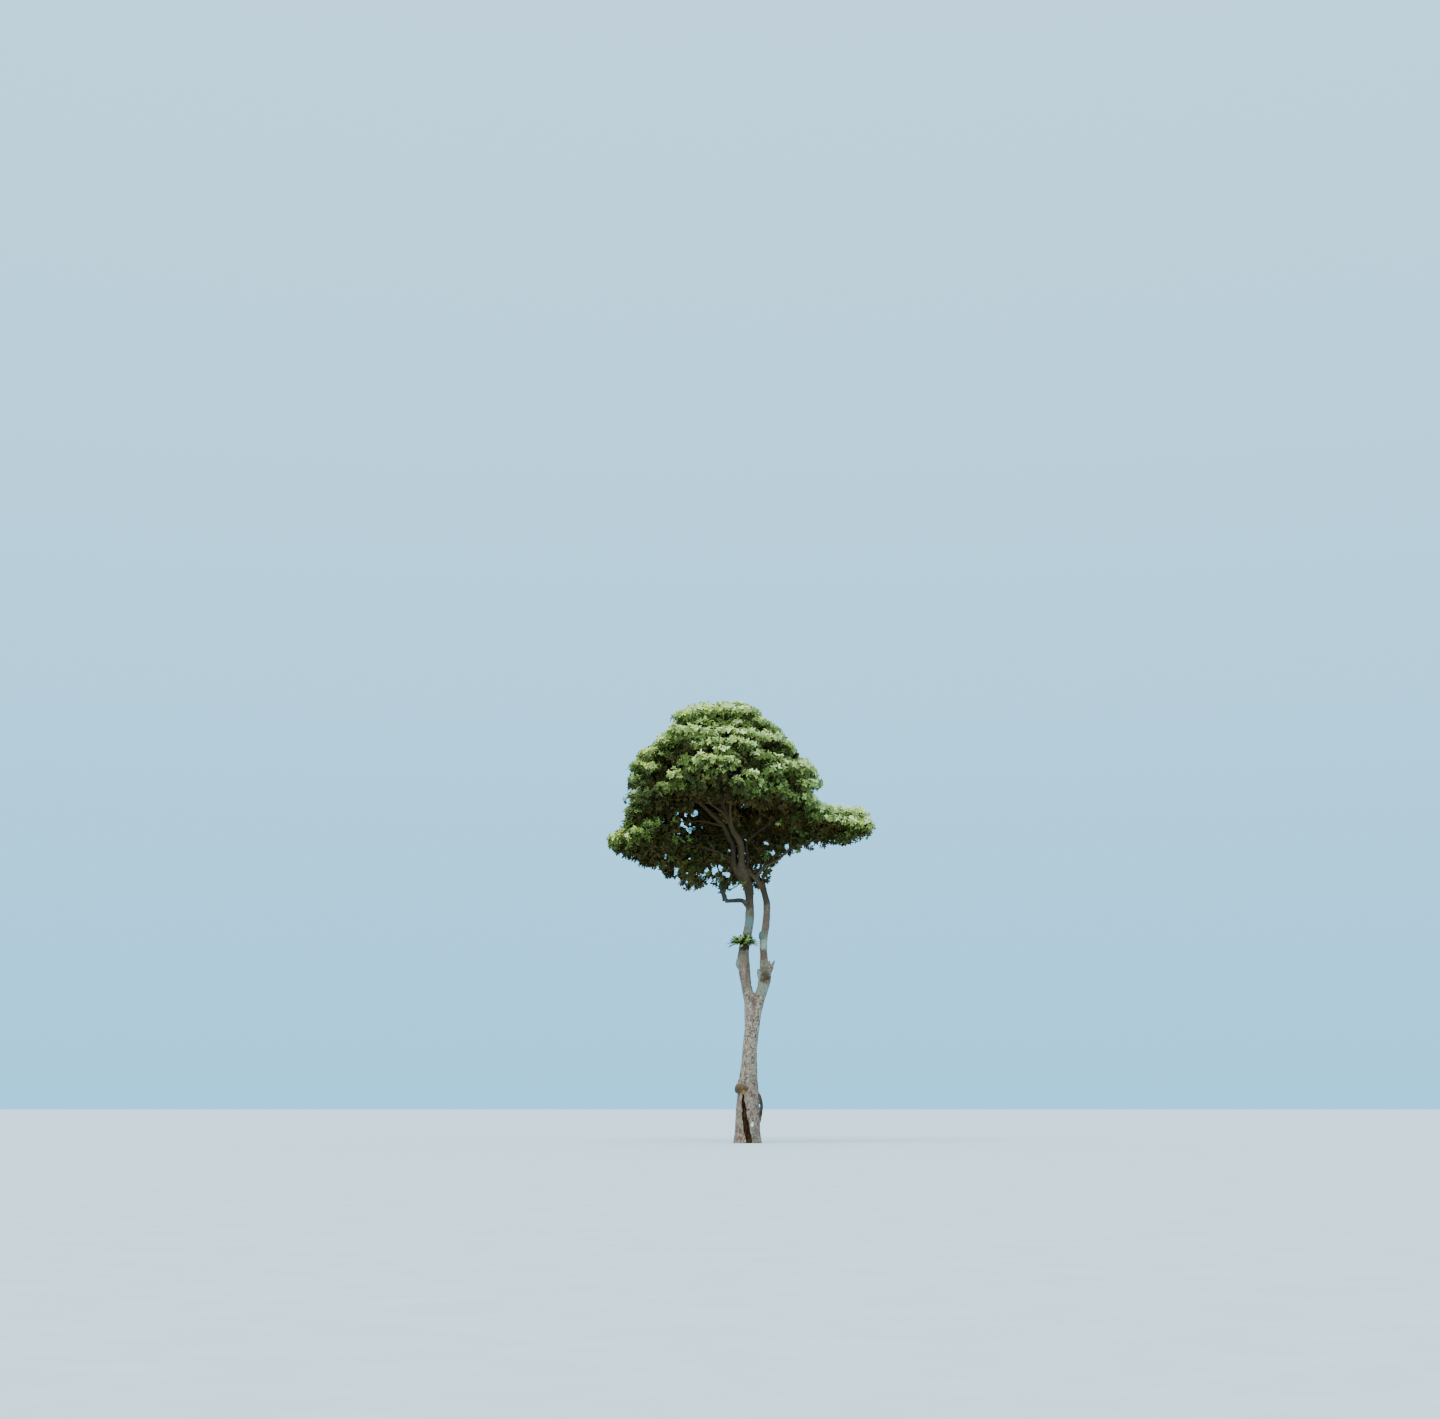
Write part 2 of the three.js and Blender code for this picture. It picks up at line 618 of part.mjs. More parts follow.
// One mass: a stem goes in from the bough's tip, twigs branch from it and end in a whorl of leaves
function growMass(mass, seed) {
  const random = randomFrom(seed);
  const { tip, direction, radius } = mass.carrier;
  const foot = tip.clone().addScaledVector(direction, CLEARANCE);
  const bend = foot.clone().addScaledVector(direction, 0.4 * foot.distanceTo(mass.centre));
  const stemCurve = new THREE.QuadraticBezierCurve3(foot, bend, mass.centre);
  const parts = [taperedLimb(stemCurve, (t) => radius + (TWIG_RADIUS - radius) * t, 5)];
  if (mass.coreShare) parts.push(core(mass, random));
  const back = foot.clone().sub(mass.centre).normalize();
  for (const aim of spreadDirections(TWIGS_PER_MASS, mass.pole, -0.75)) {
    if (aim.dot(back) > 0.8) continue;
    const from = stemCurve.getPointAt(0.6 + 0.4 * random());
    const end = spaceEdge(mass, aim, TWIG_SHARE);
    const clear = [0.4, 0.6, 0.8, 1].every((t) => clearOfLimbs(from.clone().lerp(end, t)) > 2 * LEAF.clear);
    if (!clear) continue;
    parts.push(straightTwig(from, end, TWIG_RADIUS + 4, TWIG_RADIUS - 4));
    for (let k = 0; k < LEAVES_PER_TWIG; k++) {
      const azimuth = (2 * Math.PI * (k + 0.6 * random())) / LEAVES_PER_TWIG;
      const towards = tilted(aim, LEAF_SPLAY * (0.6 + 0.4 * random()), azimuth);
      const root = from.clone().lerp(end, 0.97 - 0.06 * k);
      const blade = leaf(mass, root, spaceEdge(mass, towards, 0.99 - 0.06 * random()), random() - 0.5);
      if (blade) parts.push(blade);
    }
  }
  let solid = wasm.Manifold.union(parts);
  for (const limb of limbs.values()) solid = solid.subtract(limb.grown);
  mass.solid = largestBody(solid);
}

// A tuft of arching strap leaves that grows on the front of the left stem

const TUFT = { x: -60, y: -140, z: 4840, clump: [150, 100, 75], leaves: 12, length: 330, width: 64 };

function strapLeaf(azimuth, rise, length) {
  const out = vec(Math.cos(azimuth), Math.sin(azimuth), 0);
  const foot = vec(TUFT.x, TUFT.y, TUFT.z).addScaledVector(out, 40);
  const crown = foot.clone().addScaledVector(out, 0.55 * length);
  crown.z += rise;
  const end = foot.clone().addScaledVector(out, length);
  end.z += 0.35 * rise;
  const side = vec(-out.y, out.x, 0);
  const section = (centre, width) => [
    centre.clone().addScaledVector(side, width / 2),
    centre.clone().addScaledVector(side, -width / 2),
    centre.clone().add(vec(0, 0, -width / 5)),
  ];
  const widths = [0.5 * TUFT.width, TUFT.width, 0.3 * TUFT.width];
  return solidOf(loft([foot, crown, end].map((centre, i) => section(centre, widths[i]))));
}

function leafTuft() {
  const random = randomFrom(5);
  const parts = [knob(TUFT.x, TUFT.y, TUFT.z, ...TUFT.clump)];
  const first = THREE.MathUtils.degToRad(158);
  const sweep = THREE.MathUtils.degToRad(224);
  for (let i = 0; i < TUFT.leaves; i++) {
    const azimuth = first + (sweep * i) / (TUFT.leaves - 1);
    const tier = i % 3;
    parts.push(strapLeaf(azimuth, 60 + 110 * tier, TUFT.length * (1.1 - 0.22 * tier + 0.1 * random())));
  }
  let solid = wasm.Manifold.union(parts);
  for (const limb of limbs.values()) solid = solid.subtract(limb.grown);
  return largestBody(solid);
}

function buildTree() {
  makeSpaces();
  addTrunk();
  addStems();
  addShownLimbs();
  CROWN_BOUGHS.forEach(addCrownBough);
  const tree = new THREE.Group();
  for (const [name, limb] of limbs) tree.add(meshOf(name, limb.solid, BARK));
  [...masses.values()].forEach((mass, i) => growMass(mass, 11 + i));
  for (const mass of masses.values()) tree.add(meshOf(mass.name, mass.solid, FOLIAGE));
  tree.add(meshOf("leaf_tuft", leafTuft(), FOLIAGE));
  return tree;
}

export default buildTree();
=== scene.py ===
"""The looks of the broad-leaved evergreen tree. Metres, +Z up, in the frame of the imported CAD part.

The crown grows by the source's rule, carried to finer twigs. Each foliage mass keeps to its own space. A
stem goes in from its bough's tip, branches leave the stem, and twigs leave the branches and end in whorls of
leaves.
"""

import math

import bpy
import numpy as np
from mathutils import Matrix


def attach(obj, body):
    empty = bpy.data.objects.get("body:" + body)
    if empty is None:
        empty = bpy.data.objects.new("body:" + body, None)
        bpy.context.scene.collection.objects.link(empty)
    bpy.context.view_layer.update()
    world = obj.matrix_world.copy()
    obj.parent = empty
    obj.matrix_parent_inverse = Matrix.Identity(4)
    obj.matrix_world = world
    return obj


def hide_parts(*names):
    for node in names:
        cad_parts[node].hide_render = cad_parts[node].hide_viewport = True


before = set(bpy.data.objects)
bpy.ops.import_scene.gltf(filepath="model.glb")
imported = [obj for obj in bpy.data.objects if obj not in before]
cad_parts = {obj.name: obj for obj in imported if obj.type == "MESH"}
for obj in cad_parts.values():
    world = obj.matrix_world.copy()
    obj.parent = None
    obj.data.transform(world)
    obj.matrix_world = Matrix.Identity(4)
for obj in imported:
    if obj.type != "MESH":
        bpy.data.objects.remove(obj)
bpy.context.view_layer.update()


def put(name, data):
    """A new object in the scene."""
    made = bpy.data.objects.new(name, data)
    bpy.context.scene.collection.objects.link(made)
    return made


# The camera

EYE = (-0.6713, -51.517, 0.9175)
LENS = 51.25
TILT = 100.92


def add_camera():
    """The photograph's point of view, far off and at eye height."""
    data = bpy.data.cameras.new("camera")
    data.lens = LENS
    data.sensor_width = 36.0
    data.clip_end = 2000.0
    camera = put("camera", data)
    camera.location = EYE
    camera.rotation_euler = (math.radians(TILT), 0.0, 0.0)
    bpy.context.scene.camera = camera


add_camera()


# Small tools


def unit(vectors):
    vectors = np.asarray(vectors, float)
    return vectors / np.maximum(np.linalg.norm(vectors, axis=-1, keepdims=True), 1e-9)


def way_of(turn, rise):
    return np.array([math.cos(rise) * math.cos(turn), math.cos(rise) * math.sin(turn), math.sin(rise)])


def square_to(axes):
    """Two directions at right angles to each axis and to each other."""
    level = np.where(np.abs(axes[:, 2:]) < 0.9, [[0.0, 0.0, 1.0]], [[1.0, 0.0, 0.0]])
    side = unit(np.cross(axes, level))
    return side, np.cross(axes, side)


def smoothstep(low, high, value):
    t = np.clip((value - low) / (high - low), 0.0, 1.0)
    return t * t * (3.0 - 2.0 * t)


def lump_noise(points, seed):
    """Smooth noise from -1 to 1, with lumps one unit across."""
    cell = np.floor(points).astype(np.int64)
    part = points - cell
    part = part * part * (3.0 - 2.0 * part)
    total = np.zeros(len(points))
    for corner in np.ndindex(2, 2, 2):
        at = cell + np.array(corner)
        mixed = (at[:, 0] * 73856093) ^ (at[:, 1] * 19349663) ^ (at[:, 2] * 83492791) ^ (seed * 40503)
        mixed = ((mixed ^ (mixed >> 13)) * 1274126177) & 0xFFFFFFFF
        mixed = mixed ^ (mixed >> 16)
        weight = np.prod(np.where(corner, part, 1.0 - part), axis=1)
        total += weight * ((mixed & 0xFFFF) / 32767.5 - 1.0)
    return total


def layered_noise(points, seed, layers=3):
    total = np.zeros(len(points))
    for layer in range(layers):
        total += lump_noise(points * 2.0**layer, seed + layer) / 2.0**layer
    return total


def evenly(path, count):
    """The same path with that many points at even distances."""
    steps = np.linalg.norm(np.diff(path, axis=0), axis=1)
    distance = np.concatenate([[0.0], np.cumsum(steps)])
    even = np.linspace(0.0, distance[-1], count)
    return np.column_stack([np.interp(even, distance, path[:, k]) for k in range(path.shape[1])])


def smooth_path(points, count=201):
    """A centripetal Catmull-Rom curve through the points."""
    p = np.array(points, float)
    p = np.vstack([2 * p[0] - p[1], p, 2 * p[-1] - p[-2]])
    gap = np.linalg.norm(np.diff(p, axis=0), axis=1) ** 0.5
    stretches = []
    for i in range(1, len(p) - 2):
        before, start, end, after = p[i - 1 : i + 3]
        d0, d1, d2 = gap[i - 1 : i + 2]
        out = ((start - before) / d0 - (end - before) / (d0 + d1) + (end - start) / d1) * d1
        into = ((end - start) / d1 - (after - start) / (d1 + d2) + (after - end) / d2) * d1
        t = np.linspace(0.0, 1.0, 60, endpoint=False)[:, None]
        bend = 3 * (end - start) - 2 * out - into
        stretches.append(start + out * t + bend * t**2 + (2 * (start - end) + out + into) * t**3)
    stretches.append(p[-2:-1])
    return evenly(np.vstack(stretches), count)


def arc(start, bend, end, count):
    """Points on an arc from start towards bend and on to end."""
    t = np.linspace(0.0, 1.0, count)[:, None]
    return (1 - t) ** 2 * start + 2 * t * (1 - t) * bend + t**2 * end


def arc_path(start, bend, end, count):
    return evenly(arc(start, bend, end, count), count)


def turns(sides):
    return 2 * np.pi * np.arange(sides) / sides


def rings_to_faces(rings, sides, count=1):
    """Triangles of tubes whose points are numbered tube by tube, ring by ring, with both ends closed."""
    k = np.arange(sides)
    following = (k + 1) % sides
    wall = []
    for ring in range(rings - 1):
        low = ring * sides
        high = low + sides
        wall.append(np.column_stack([low + k, low + following, high + following]))
        wall.append(np.column_stack([low + k, high + following, high + k]))
    last = (rings - 1) * sides
    fan = np.arange(1, sides - 1)
    wall.append(np.column_stack([0 * fan, fan + 1, fan]))
    wall.append(np.column_stack([last + 0 * fan, last + fan, last + fan + 1]))
    one = np.vstack(wall)
    shift = np.arange(count)[:, None, None] * rings * sides
    return (one[None] + shift).reshape(-1, 3)


def tubes(paths, radii, sides):
    """Tapering tubes along several paths of equally many points: their vertices and triangles."""
    paths = np.asarray(paths, float)
    count, rings, _ = paths.shape
    along = unit(np.gradient(paths, axis=1))
    steep = np.abs(along[:, :, 2]).mean(axis=1) > 0.8
    reference = np.where(steep[:, None], [1.0, 0.0, 0.0], [0.0, 0.0, 1.0])[:, None, :]
    side = unit(np.cross(reference, along))
    other = np.cross(along, side)
    angle = turns(sides)
    ring = side[:, :, None] * np.cos(angle)[:, None] + other[:, :, None] * np.sin(angle)[:, None]
    points = paths[:, :, None] + np.asarray(radii)[:, :, None, None] * ring
    return points.reshape(-1, 3), rings_to_faces(rings, sides, count)


def joined(shapes):
    """Several (vertices, triangles) as one."""
    points = np.vstack([shape[0] for shape in shapes])
    shift = np.cumsum([0] + [len(shape[0]) for shape in shapes[:-1]])
    return points, np.vstack([shape[1] + s for shape, s in zip(shapes, shift)])


def mesh_object(name, points, triangles, material, smooth=True):
    mesh = bpy.data.meshes.new(name)
    mesh.vertices.add(len(points))
    mesh.vertices.foreach_set("co", points.astype(np.float32).ravel())
    mesh.loops.add(3 * len(triangles))
    mesh.loops.foreach_set("vertex_index", triangles.astype(np.int32).ravel())
    mesh.polygons.add(len(triangles))
    mesh.polygons.foreach_set("loop_start", 3 * np.arange(len(triangles), dtype=np.int32))
    mesh.polygons.foreach_set("use_smooth", np.full(len(triangles), smooth))
    mesh.update(calc_edges=True)
    mesh.validate()
    mesh.materials.append(material)
    return put(name, mesh)


SKIN_VOXEL = 0.013


def remesh(made, smoothing):
    """Joins everything in the object into one skin of small even faces and softens it."""
    join = made.modifiers.new("skin", "REMESH")
    join.mode = "VOXEL"
    join.voxel_size = SKIN_VOXEL
    soften = made.modifiers.new("soften", "SMOOTH")
    soften.factor = 0.5
    soften.iterations = smoothing
    graph = bpy.context.evaluated_depsgraph_get()
    skin = bpy.data.meshes.new_from_object(made.evaluated_get(graph))
    skin.polygons.foreach_set("use_smooth", np.ones(len(skin.polygons), bool))
    made.modifiers.clear()
    made.data = skin


def rows_of(items, name):
    """One vector of each item, such as the place of each vertex, as rows of floats."""
    values = np.empty(3 * len(items), np.float32)
    items.foreach_get(name, values)
    return values.reshape(-1, 3).astype(float)


# Spaces of the foliage masses

CROWN_CENTRE = np.array([-0.58, 0.0, 8.6])
# Masses with their middles lower than this are the looser ones under the dome, where the leaves get more
# brown painted shade
LOW_MASSES = 8.3
# The gap between neighbouring spaces, and how far leaves reach over a wall
SPACE_GAP = 0.03
WALL_CROSSING = 0.22
COVER_SHARPNESS = 3.4


class Mass:
    """A foliage mass. Its space is an oval cut back by flat walls that it shares with its neighbours.

    At the walls the leaves of neighbours mingle, and the crown's cover bridges the clefts between ovals.
    """

    def __init__(self, name, centre, radii, outward=None, fill=1.0):
        self.name = name
        self.centre = np.array(centre, float)
        self.radii = np.array(radii, float)
        self.pole = unit(self.centre - CROWN_CENTRE if outward is None else outward)
        self.fill = fill
        self.low = self.centre[2] < LOW_MASSES
        self.walls = []

    def oval_reach(self, directions):
        return 1.0 / np.linalg.norm(directions / self.radii, axis=-1)

    def within_walls(self, directions, found, crossing=0.0):
        for normal, distance in self.walls:
            along = directions @ normal
            limit = (distance + crossing) / np.maximum(along, 1e-6)
            found = np.where(along > 1e-6, np.minimum(found, limit), found)
        return found

    def cover_reach(self, directions):
        """How far the crown's cover lies each way, searched from inside the oval to well outside it."""
        oval = self.oval_reach(directions)
        found = 0.7 * oval
        for share in np.arange(0.725, 1.35, 0.025):
            under = cover_depth(self.centre + directions * (share * oval)[:, None]) >= 1.0
            found = np.where(under, share * oval, found)
        return found

    def holds(self, points):
        offset = points - self.centre
        directions = unit(offset)
        return np.linalg.norm(offset, axis=-1) <= self.within_walls(directions, self.oval_reach(directions))


masses = {}


def cover_depth(points):
    """A soft union of the masses' ovals: one on the crown's cover, and more under it."""
    total = np.zeros(len(points))
    for mass in masses.values():
        apart = (((points - mass.centre) / mass.radii) ** 2).sum(axis=1)
        total += np.exp(COVER_SHARPNESS * (1.0 - apart))
    return total


def add_space(name, centre, radii, **more):
    masses[name] = Mass(name, centre, radii, **more)


def add_ring(name, count, axis_x, ring, z, radii, first):
    """Several spaces in a level ring, the first of them at the angle first."""
    for i in range(count):
        angle = math.radians(first + 360.0 * i / count)
        centre = [axis_x + ring * math.cos(angle), ring * math.sin(angle), z]
        add_space(f"{name}_{i + 1}", centre, radii)


def add_walls():
    """A flat wall between each two spaces that meet, placed by the reach of their ovals."""
    for a in masses.values():
        for b in masses.values():
            if a is b:
                continue
            apart = np.linalg.norm(b.centre - a.centre)
            towards = (b.centre - a.centre) / apart
            reach_a = a.oval_reach(towards)
            reach_b = b.oval_reach(towards)
            if reach_a + reach_b < apart - SPACE_GAP:
                continue
            a.walls.append((towards, apart * reach_a / (reach_a + reach_b) - SPACE_GAP / 2))


add_ring("crest", 3, -0.59, 0.62, 10.245, [1.05, 1.05, 0.755], first=90.0)
add_ring("upper", 6, -0.73, 1.33, 9.55, [0.95, 0.95, 0.77], first=5.0)
add_ring("middle", 6, -0.58, 1.65, 8.92, [1.05, 1.05, 0.8], first=-25.0)
add_space("side_left", [-2.31, 0.06, 8.03], [0.9, 0.94, 0.66], outward=[-1, 0, 0])
add_space("back_left", [-1.0, 1.34, 7.94], [0.76, 0.9, 0.6], fill=0.8)
add_space("back", [-0.12, 1.54, 7.92], [0.96, 0.9, 0.66])
add_space("back_right", [0.9, 0.98, 7.95], [0.9, 0.9, 0.62])
add_space("right_lobe_inner", [1.6, 0.06, 7.98], [0.82, 0.82, 0.49])
add_space("right_lobe_outer", [2.45, 0.0, 7.88], [0.85, 0.76, 0.52], outward=[1, 0, -0.25])
add_space("left_lobe_outer", [-2.86, -0.2, 7.42], [0.65, 0.62, 0.46], outward=[-1, 0, 0])
add_space("left_lobe_inner", [-2.1, 0.12, 7.43], [0.72, 0.66, 0.43], outward=[-1, -1, -0.5])
add_space("low_left_outer", [-1.98, 0.28, 6.97], [0.74, 0.62, 0.43], outward=[-1, 0, -0.3], fill=0.8)
add_space("low_left_inner", [-1.36, 0.1, 6.75], [0.56, 0.56, 0.575], outward=[0.1, 0, -1], fill=0.8)
add_space("low_middle", [-0.79, 0.18, 7.08], [0.46, 0.5, 0.46], outward=[0, 0, -1], fill=0.6)
add_space("low_right", [0.44, 0.46, 7.28], [0.52, 0.5, 0.48], outward=[0.3, 0, -1], fill=0.8)
add_walls()


# Limbs

BOUGH_TIP_RADIUS = 0.018
# Every limb's path has this many steps
STEPS = 80
# Limbs that show: radius at the root and at the tip, the mass it carries, and the places it runs through
SHOWN_LIMBS = {
    "stem_link": (0.066, 0.058, None, [
        [0.372, -0.01, 6.29], [0.235, -0.025, 6.51], [0.12, -0.025, 6.64], [0.02, -0.01, 6.76],
    ]),
    "leader_middle": (0.1, 0.034, "crest_1", [
        [-0.058, -0.025, 6.56], [-0.104, -0.04, 6.88], [-0.136, -0.07, 7.38], [-0.29, -0.09, 7.72],
        [-0.52, -0.09, 8.12], [-0.64, -0.04, 8.8], [-0.62, 0.06, 9.35], [-0.6, 0.2, 9.9],
    ]),
    "leader_left": (0.09, 0.034, "middle_4", [
        [-0.2, 0.03, 6.56], [-0.3, 0.06, 6.89], [-0.33, 0.11, 7.38], [-0.43, 0.13, 7.7], [-0.8, 0.11, 8.1],
        [-1.5, 0.04, 8.7],
    ]),
    "leader_right": (0.044, 0.024, "middle_1", [
        [0.062, 0.06, 6.56], [0.04, 0.085, 7.06], [0.03, 0.11, 7.45], [0.25, 0.13, 7.68],
        [0.62, 0.07, 7.96], [1.02, -0.08, 8.42],
    ]),
    "bough_left_long": (0.044, 0.022, "left_lobe_inner", [
        [-0.33, 0.06, 7.0], [-0.56, -0.02, 7.13], [-0.87, -0.14, 7.22], [-1.26, -0.22, 7.29],
        [-1.7, -0.08, 7.34], [-2.12, 0.1, 7.42],
    ]),
    "bough_left_low": (0.04, 0.022, "low_left_inner", [
        [-0.24, 0.06, 6.7], [-0.42, 0.08, 6.84], [-0.64, 0.06, 6.95], [-0.9, -0.06, 7.06],
        [-1.13, 0.02, 6.93], [-1.33, 0.1, 6.72],
    ]),
    "twisted_bough": (0.044, 0.036, None, [
        [0.06, -0.02, 5.8], [-0.11, -0.07, 5.95], [-0.33, -0.08, 5.95], [-0.54, -0.08, 5.94],
    ]),
    "twisted_bough_rise": (0.034, 0.022, "low_middle", [
        [-0.545, -0.08, 5.95], [-0.56, -0.076, 6.06], [-0.64, -0.06, 6.29], [-0.612, -0.03, 6.52],
        [-0.72, 0.04, 6.76], [-0.8, 0.12, 7.0],
    ]),
    "bough_right_low": (0.042, 0.022, "right_lobe_outer", [
        [0.225, -0.02, 6.54], [0.44, -0.04, 6.8], [0.74, -0.06, 6.985], [1.13, -0.08, 7.23],
        [1.4, -0.08, 7.4], [1.9, -0.04, 7.56], [2.48, 0.0, 7.89],
    ]),
    "bough_right_high": (0.034, 0.02, "right_lobe_inner", [
        [0.4, 0.02, 6.38], [0.44, 0.05, 6.62], [0.56, 0.08, 6.88], [0.82, 0.09, 7.24], [1.09, 0.06, 7.48],
        [1.4, 0.08, 7.8],
    ]),
}

# Boughs inside the crown: mass, parent, place along the parent, lift of the bend, root radius
CROWN_BOUGHS = [
    ["crest_2", "leader_middle", 0.93, 0.1, 0.032], ["crest_3", "leader_middle", 0.88, 0.1, 0.032],
    ["upper_1", "leader_middle", 0.8, 0.12, 0.036], ["upper_2", "leader_middle", 0.84, 0.1, 0.034],
    ["upper_3", "leader_middle", 0.76, 0.1, 0.034], ["upper_4", "leader_middle", 0.72, 0.1, 0.038],
    ["upper_5", "leader_middle", 0.67, 0.1, 0.038], ["upper_6", "leader_middle", 0.63, 0.1, 0.038],
    ["middle_2", "leader_middle", 0.57, 0.12, 0.04], ["middle_3", "leader_left", 0.72, 0.1, 0.036],
    ["middle_5", "leader_middle", 0.53, 0.08, 0.04], ["middle_6", "leader_middle", 0.44, 0.12, 0.04],
    ["side_left", "leader_left", 0.56, 0.1, 0.036], ["back_left", "leader_left", 0.42, 0.06, 0.036],
    ["back", "leader_right", 0.28, 0.05, 0.032], ["back_right", "leader_right", 0.5, 0.05, 0.026],
    ["left_lobe_outer", "bough_left_long", 0.8, -0.1, 0.024],
    ["low_left_outer", "bough_left_low", 0.6, 0.04, 0.028],
    ["low_right", "bough_right_high", 0.3, 0.1, 0.026],
]

boughs = {}


def limb_radius(root, tip, share):
    return root + (tip - root) * share**0.8


def girths(bough):
    """The bough's radius at each point of its path."""
    return limb_radius(bough["root"], bough["tip"], np.linspace(0.0, 1.0, STEPS + 1))


def add_bough(name, path, root, tip, carries):
    """Keeps a bough. One that carries a mass ends where it enters the mass's space."""
    mass = masses.get(carries)
    if mass:
        inside = mass.holds(path)
        inside[0] = False
        end = int(np.argmax(inside)) if inside.any() else len(path) - 1
        path = evenly(path[: end + 1], STEPS + 1)
        mass.tip = path[-1]
        mass.heading = unit(path[-1] - path[-3])
        mass.tip_radius = tip
    boughs[name] = {"path": evenly(path, STEPS + 1), "root": root, "tip": tip}


for limb_name, (root, tip, carries, points) in SHOWN_LIMBS.items():
    add_bough(limb_name, smooth_path(points), root, tip, carries)

for mass_name, parent_name, share, lift, root in CROWN_BOUGHS:
    mass = masses[mass_name]
    parent = boughs[parent_name]
    start = parent["path"][round(STEPS * share)]
    away = unit(start - mass.centre)
    end = mass.centre + away * 0.8 * mass.within_walls(away, mass.oval_reach(away))
    bend = start + 0.45 * (end - start)
    bend[2] += lift * np.linalg.norm(end - start)
    root = min(root, 0.85 * limb_radius(parent["root"], parent["tip"], share))
    add_bough(f"bough_{mass_name}", arc_path(start, bend, end, 201), root, BOUGH_TIP_RADIUS, mass_name)


# Bark: the trunk and stems are one skin, the limbs that show another

# Stations: z, x, y, half width, half depth
TRUNK = [
    [0.0, -0.01, 0.0, 0.34, 0.33], [0.16, -0.006, 0.0, 0.318, 0.306], [0.6, 0.004, 0.0, 0.299, 0.285],
    [1.03, 0.015, 0.0, 0.268, 0.258], [1.6, 0.035, 0.0, 0.224, 0.218], [2.01, 0.057, 0.0, 0.189, 0.19],
    [2.29, 0.068, 0.005, 0.181, 0.182], [2.73, 0.118, 0.01, 0.179, 0.176],
    [3.18, 0.152, 0.01, 0.212, 0.172], [3.48, 0.181, 0.01, 0.262, 0.166], [3.66, 0.196, 0.01, 0.304, 0.16],
]
LEFT_STEM = [
    [3.62, 0.036, 0.01, 0.142, 0.14], [3.87, -0.016, 0.0, 0.133, 0.136], [4.1, -0.052, -0.005, 0.143, 0.14],
    [4.48, -0.088, -0.01, 0.15, 0.138], [4.75, -0.074, -0.01, 0.134, 0.13],
    [5.0, -0.018, -0.005, 0.122, 0.12], [5.25, 0.036, 0.0, 0.111, 0.112], [5.48, 0.072, 0.0, 0.108, 0.106],
    [5.85, 0.074, 0.0, 0.102, 0.1], [6.145, 0.058, 0.0, 0.102, 0.1], [6.37, 0.012, 0.0, 0.106, 0.104],
    [6.56, -0.066, 0.005, 0.148, 0.12], [6.72, -0.112, 0.01, 0.19, 0.125], [6.83, -0.15, 0.02, 0.14, 0.1],
    [6.92, -0.17, 0.025, 0.05, 0.04],
]
RIGHT_STEM = [
    [3.62, 0.344, 0.01, 0.15, 0.142], [3.76, 0.386, 0.015, 0.148, 0.142], [3.98, 0.438, 0.02, 0.158, 0.142],
    [4.2, 0.452, 0.02, 0.132, 0.122], [4.53, 0.425, 0.02, 0.092, 0.094], [5.03, 0.424, 0.02, 0.092, 0.09],
    [5.25, 0.466, 0.02, 0.092, 0.088], [5.7, 0.508, 0.015, 0.084, 0.08], [5.92, 0.498, 0.01, 0.083, 0.08],
    [6.145, 0.446, 0.0, 0.077, 0.076], [6.3, 0.4, 0.0, 0.084, 0.078], [6.44, 0.388, 0.0, 0.066, 0.066],
]


def upright(stations, sides, step, shape=None):
    """A smooth upright limb through level oval stations."""
    rows = smooth_path(stations, count=round((stations[-1][0] - stations[0][0]) / step))
    rows[0, 0] = stations[0][0]
    angle = turns(sides)
    grow = np.ones((len(rows), sides)) if shape is None else shape(angle, rows[:, 0])
    points = np.empty((len(rows), sides, 3))
    points[:, :, 0] = rows[:, 1, None] + rows[:, 3, None] * grow * np.cos(angle)
    points[:, :, 1] = rows[:, 2, None] + rows[:, 4, None] * grow * np.sin(angle)
    points[:, :, 2] = rows[:, 0, None]
    return points


def trunk_shape(angle, z):
    """Root flare lobes that fade out with height, and a crease front and back below the fork."""
    flare = 0.1 * np.maximum(0.0, 1.0 - z / 0.62)[:, None] * np.cos(5 * angle + 0.6)
    rise = np.maximum(0.0, (z - 2.9) / 0.74)[:, None]
    return 1.0 + flare - 0.3 * rise * np.abs(np.sin(angle)) ** 8


SLIT_TOP = 1.2


def slit_share(z):
    """How far down the slit a height lies, from 0 at its top to 1 near the tree's foot."""
    return np.clip((SLIT_TOP - z) / 1.13, 0.0, 1.0)


def slit_middle(z):
    """Where the slit's middle line runs. It slants to the right on its way down, with two small waves."""
    t = slit_share(z)
    slant = -0.105 + 0.145 * t - 0.03 * np.sin(np.pi * t)
    return slant + 0.008 * np.sin(17.0 * z) + 0.005 * np.sin(41.0 * z)


def slit_half_width(z):
    return 0.014 + 0.066 * np.sin(0.55 * np.pi * slit_share(z))


def carve_slit(points):
    """The hollow slit in the front of the butt, widening as it runs down to the foot."""
    x, y, z = np.moveaxis(points, 2, 0)
    apart = np.abs(x - slit_middle(z)) / slit_half_width(z)
    inside = smoothstep(1.0, 0.75, apart) * smoothstep(SLIT_TOP, SLIT_TOP - 0.04, z)
    floor = -0.03 + 0.03 * np.sin(9.0 * z)
    points[:, :, 1] = np.where(y < floor, y + inside * (floor - y), y)


def closed(points):
    rings, sides, _ = points.shape
    return points.reshape(-1, 3), rings_to_faces(rings, sides)


